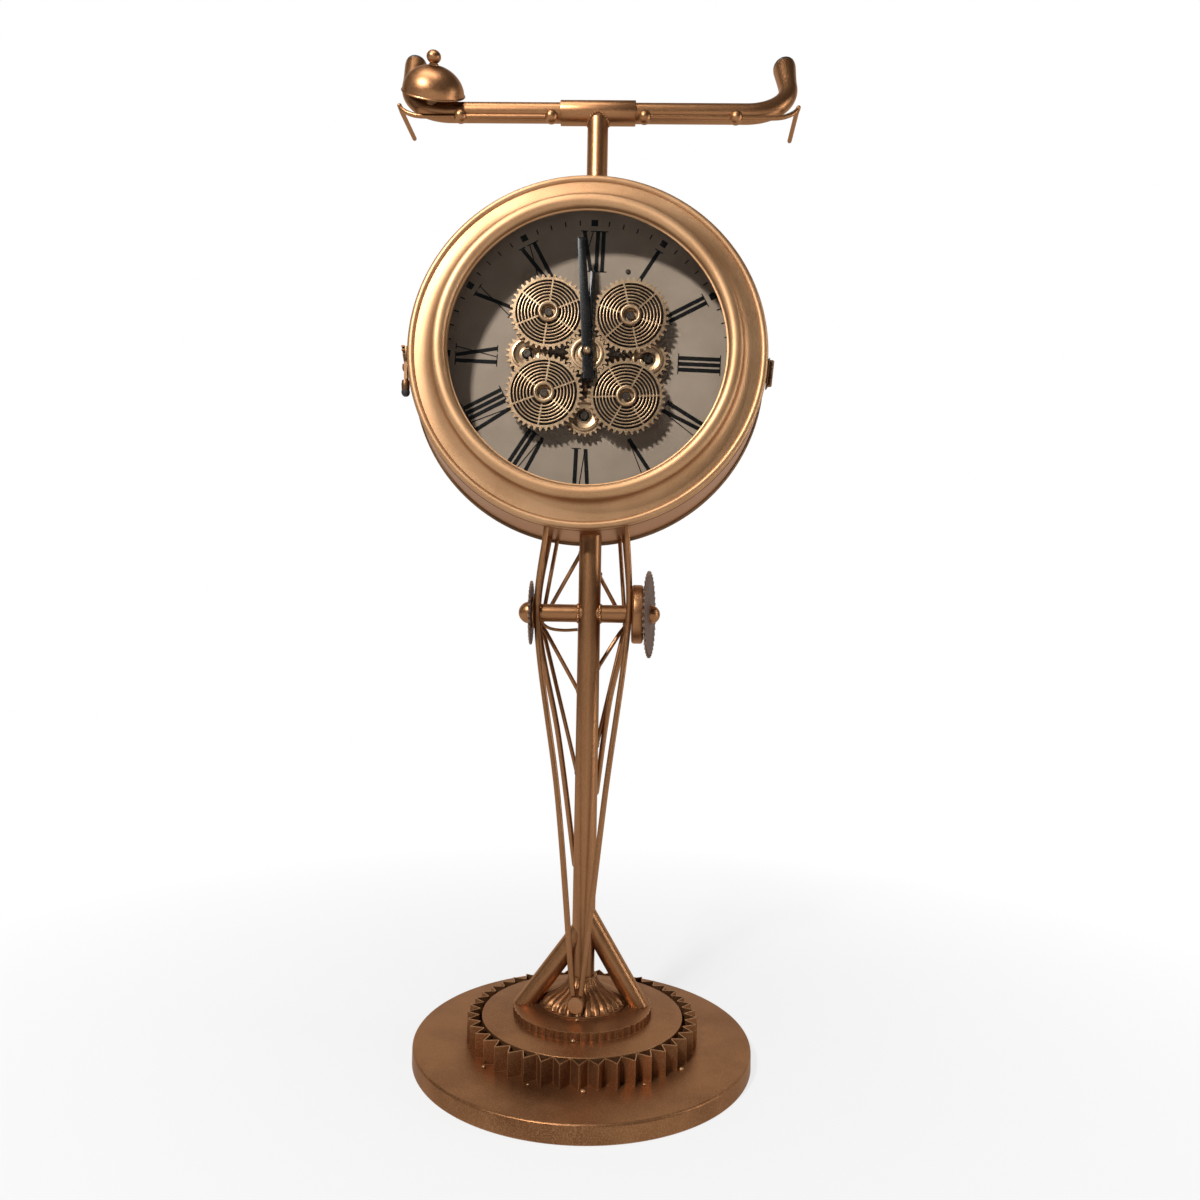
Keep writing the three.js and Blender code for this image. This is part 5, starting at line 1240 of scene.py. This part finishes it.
# %% [markdown]
# ## Studio
# The object stands on a pale floor before a pale wall. The wall is white to the camera and to
# reflections through its own material, so no light has to be raised for it. The main lamp is
# small and high on the left, which throws the door's shadow across the top of the dial. Two
# tall strips light the sides, and two faint lamps fill in from above and from low in front.

# %% Floor and wall
def plain_plane(name, size, place):
    """A square that belongs to the studio."""
    bm = bmesh.new()
    bmesh.ops.create_grid(bm, x_segments=1, y_segments=1, size=size, matrix=place)
    plane = mesh_object(name, bm)
    return plane


def join_on(tree, operation, a, b):
    """A value worked out from two sockets."""
    made = tree.nodes.new("ShaderNodeMath")
    made.operation = operation
    tree.links.new(a, made.inputs[0])
    tree.links.new(b, made.inputs[1])
    return made.outputs[0]


def seen_white(name, base, near, far, reach):
    """A pale material lit as any other, that also glows white to camera, gloss and glass rays.

    The glow's share grows from near, under the object, to far, where the floor meets the wall.
    """
    material, tree, shader = new_material(name)
    shader.inputs["Base Color"].default_value = (*base, 1)
    shader.inputs["Roughness"].default_value = 0.9
    shader.inputs["Specular IOR Level"].default_value = 0.0
    rays = tree.nodes.new("ShaderNodeLightPath")
    seen = rays.outputs["Is Camera Ray"]
    for kind in ("Is Glossy Ray", "Is Transmission Ray"):
        seen = join_on(tree, "MAXIMUM", seen, rays.outputs[kind])
    where = tree.nodes.new("ShaderNodeTexCoord")
    length = tree.nodes.new("ShaderNodeVectorMath")
    length.operation = "LENGTH"
    tree.links.new(where.outputs["Object"], length.inputs[0])
    share = range_on(tree, length.outputs["Value"], near, far, *reach)
    glow = node(tree, "ShaderNodeEmission", Strength=1.0)
    mixer = tree.nodes.new("ShaderNodeMixShader")
    tree.links.new(join_on(tree, "MULTIPLY", seen, share), mixer.inputs["Fac"])
    tree.links.new(shader.outputs[0], mixer.inputs[1])
    tree.links.new(glow.outputs[0], mixer.inputs[2])
    tree.links.new(mixer.outputs[0], tree.nodes["Material Output"].inputs["Surface"])
    return material


floor = plain_plane("floor", 6, Matrix.Translation((0, 0, -0.0005)))
floor.data.materials.append(seen_white("pale_floor", (0.55, 0.55, 0.55), 0.78, 1.0, (0.2, 1.0)))
wall = plain_plane("wall", 6, Matrix.Translation((0, 3.0, 0)) @ Matrix.Rotation(pi / 2, 4, "X"))
wall.data.materials.append(seen_white("pale_wall", (0.75, 0.75, 0.75), 1.0, 1.0, (0.0, 1.0)))

# %% World and lamps
world = bpy.data.worlds.new("studio")
bpy.context.scene.world = world
world.use_nodes = True
world.node_tree.nodes["Background"].inputs["Color"].default_value = (1, 0.99, 0.98, 1)
world.node_tree.nodes["Background"].inputs["Strength"].default_value = 0.02


def lamp(name, place, aim, size, watts):
    """A rectangular lamp that looks at a point."""
    light = bpy.data.lights.new(name, "AREA")
    light.shape = "RECTANGLE"
    light.size, light.size_y = size
    light.energy = watts
    made = object_of(name, light)
    made.location = place
    made.rotation_euler = (Vector(aim) - Vector(place)).to_track_quat("-Z", "Y").to_euler()


lamp("main_lamp", (-1.03, -1.82, 2.08), (0, 0, 0.7), (0.22, 0.22), 80)
for name, x, watts in (("right_strip", 1.7, 11), ("left_strip", -1.7, 1.2)):
    lamp(name, (x, -0.30, 0.95), (0, 0, 0.75), (0.3, 1.5), watts)
lamp("top_softbox", (-0.25, -0.45, 1.95), (0, 0, 1.0), (0.7, 0.25), 6)
lamp("low_front", (0.3, -2.4, 0.3), (0, 0, 0.2), (1.0, 0.4), 1.5)

# %% Camera and view
camera_data = bpy.data.cameras.new("camera")
camera_data.sensor_width = 36.0
# the photograph is 1200 pixels wide, and its focal length and shift were measured in pixels
PHOTO = 1200
camera_data.lens = 848.3 / PHOTO * camera_data.sensor_width
camera_data.shift_x = 13.0 / PHOTO
camera = object_of("camera", camera_data)
camera.location = (0.0157, -0.9521, 0.4280)
turn = Matrix.Rotation(radians(1.112), 3, "Z")
aim = Euler((radians(90 + 3.766), 0, 0)).to_matrix()
roll = Matrix.Rotation(radians(1.035), 3, "Z")
camera.rotation_euler = (turn @ aim @ roll).to_euler()
bpy.context.scene.camera = camera
bpy.context.scene.view_settings.view_transform = "Standard"
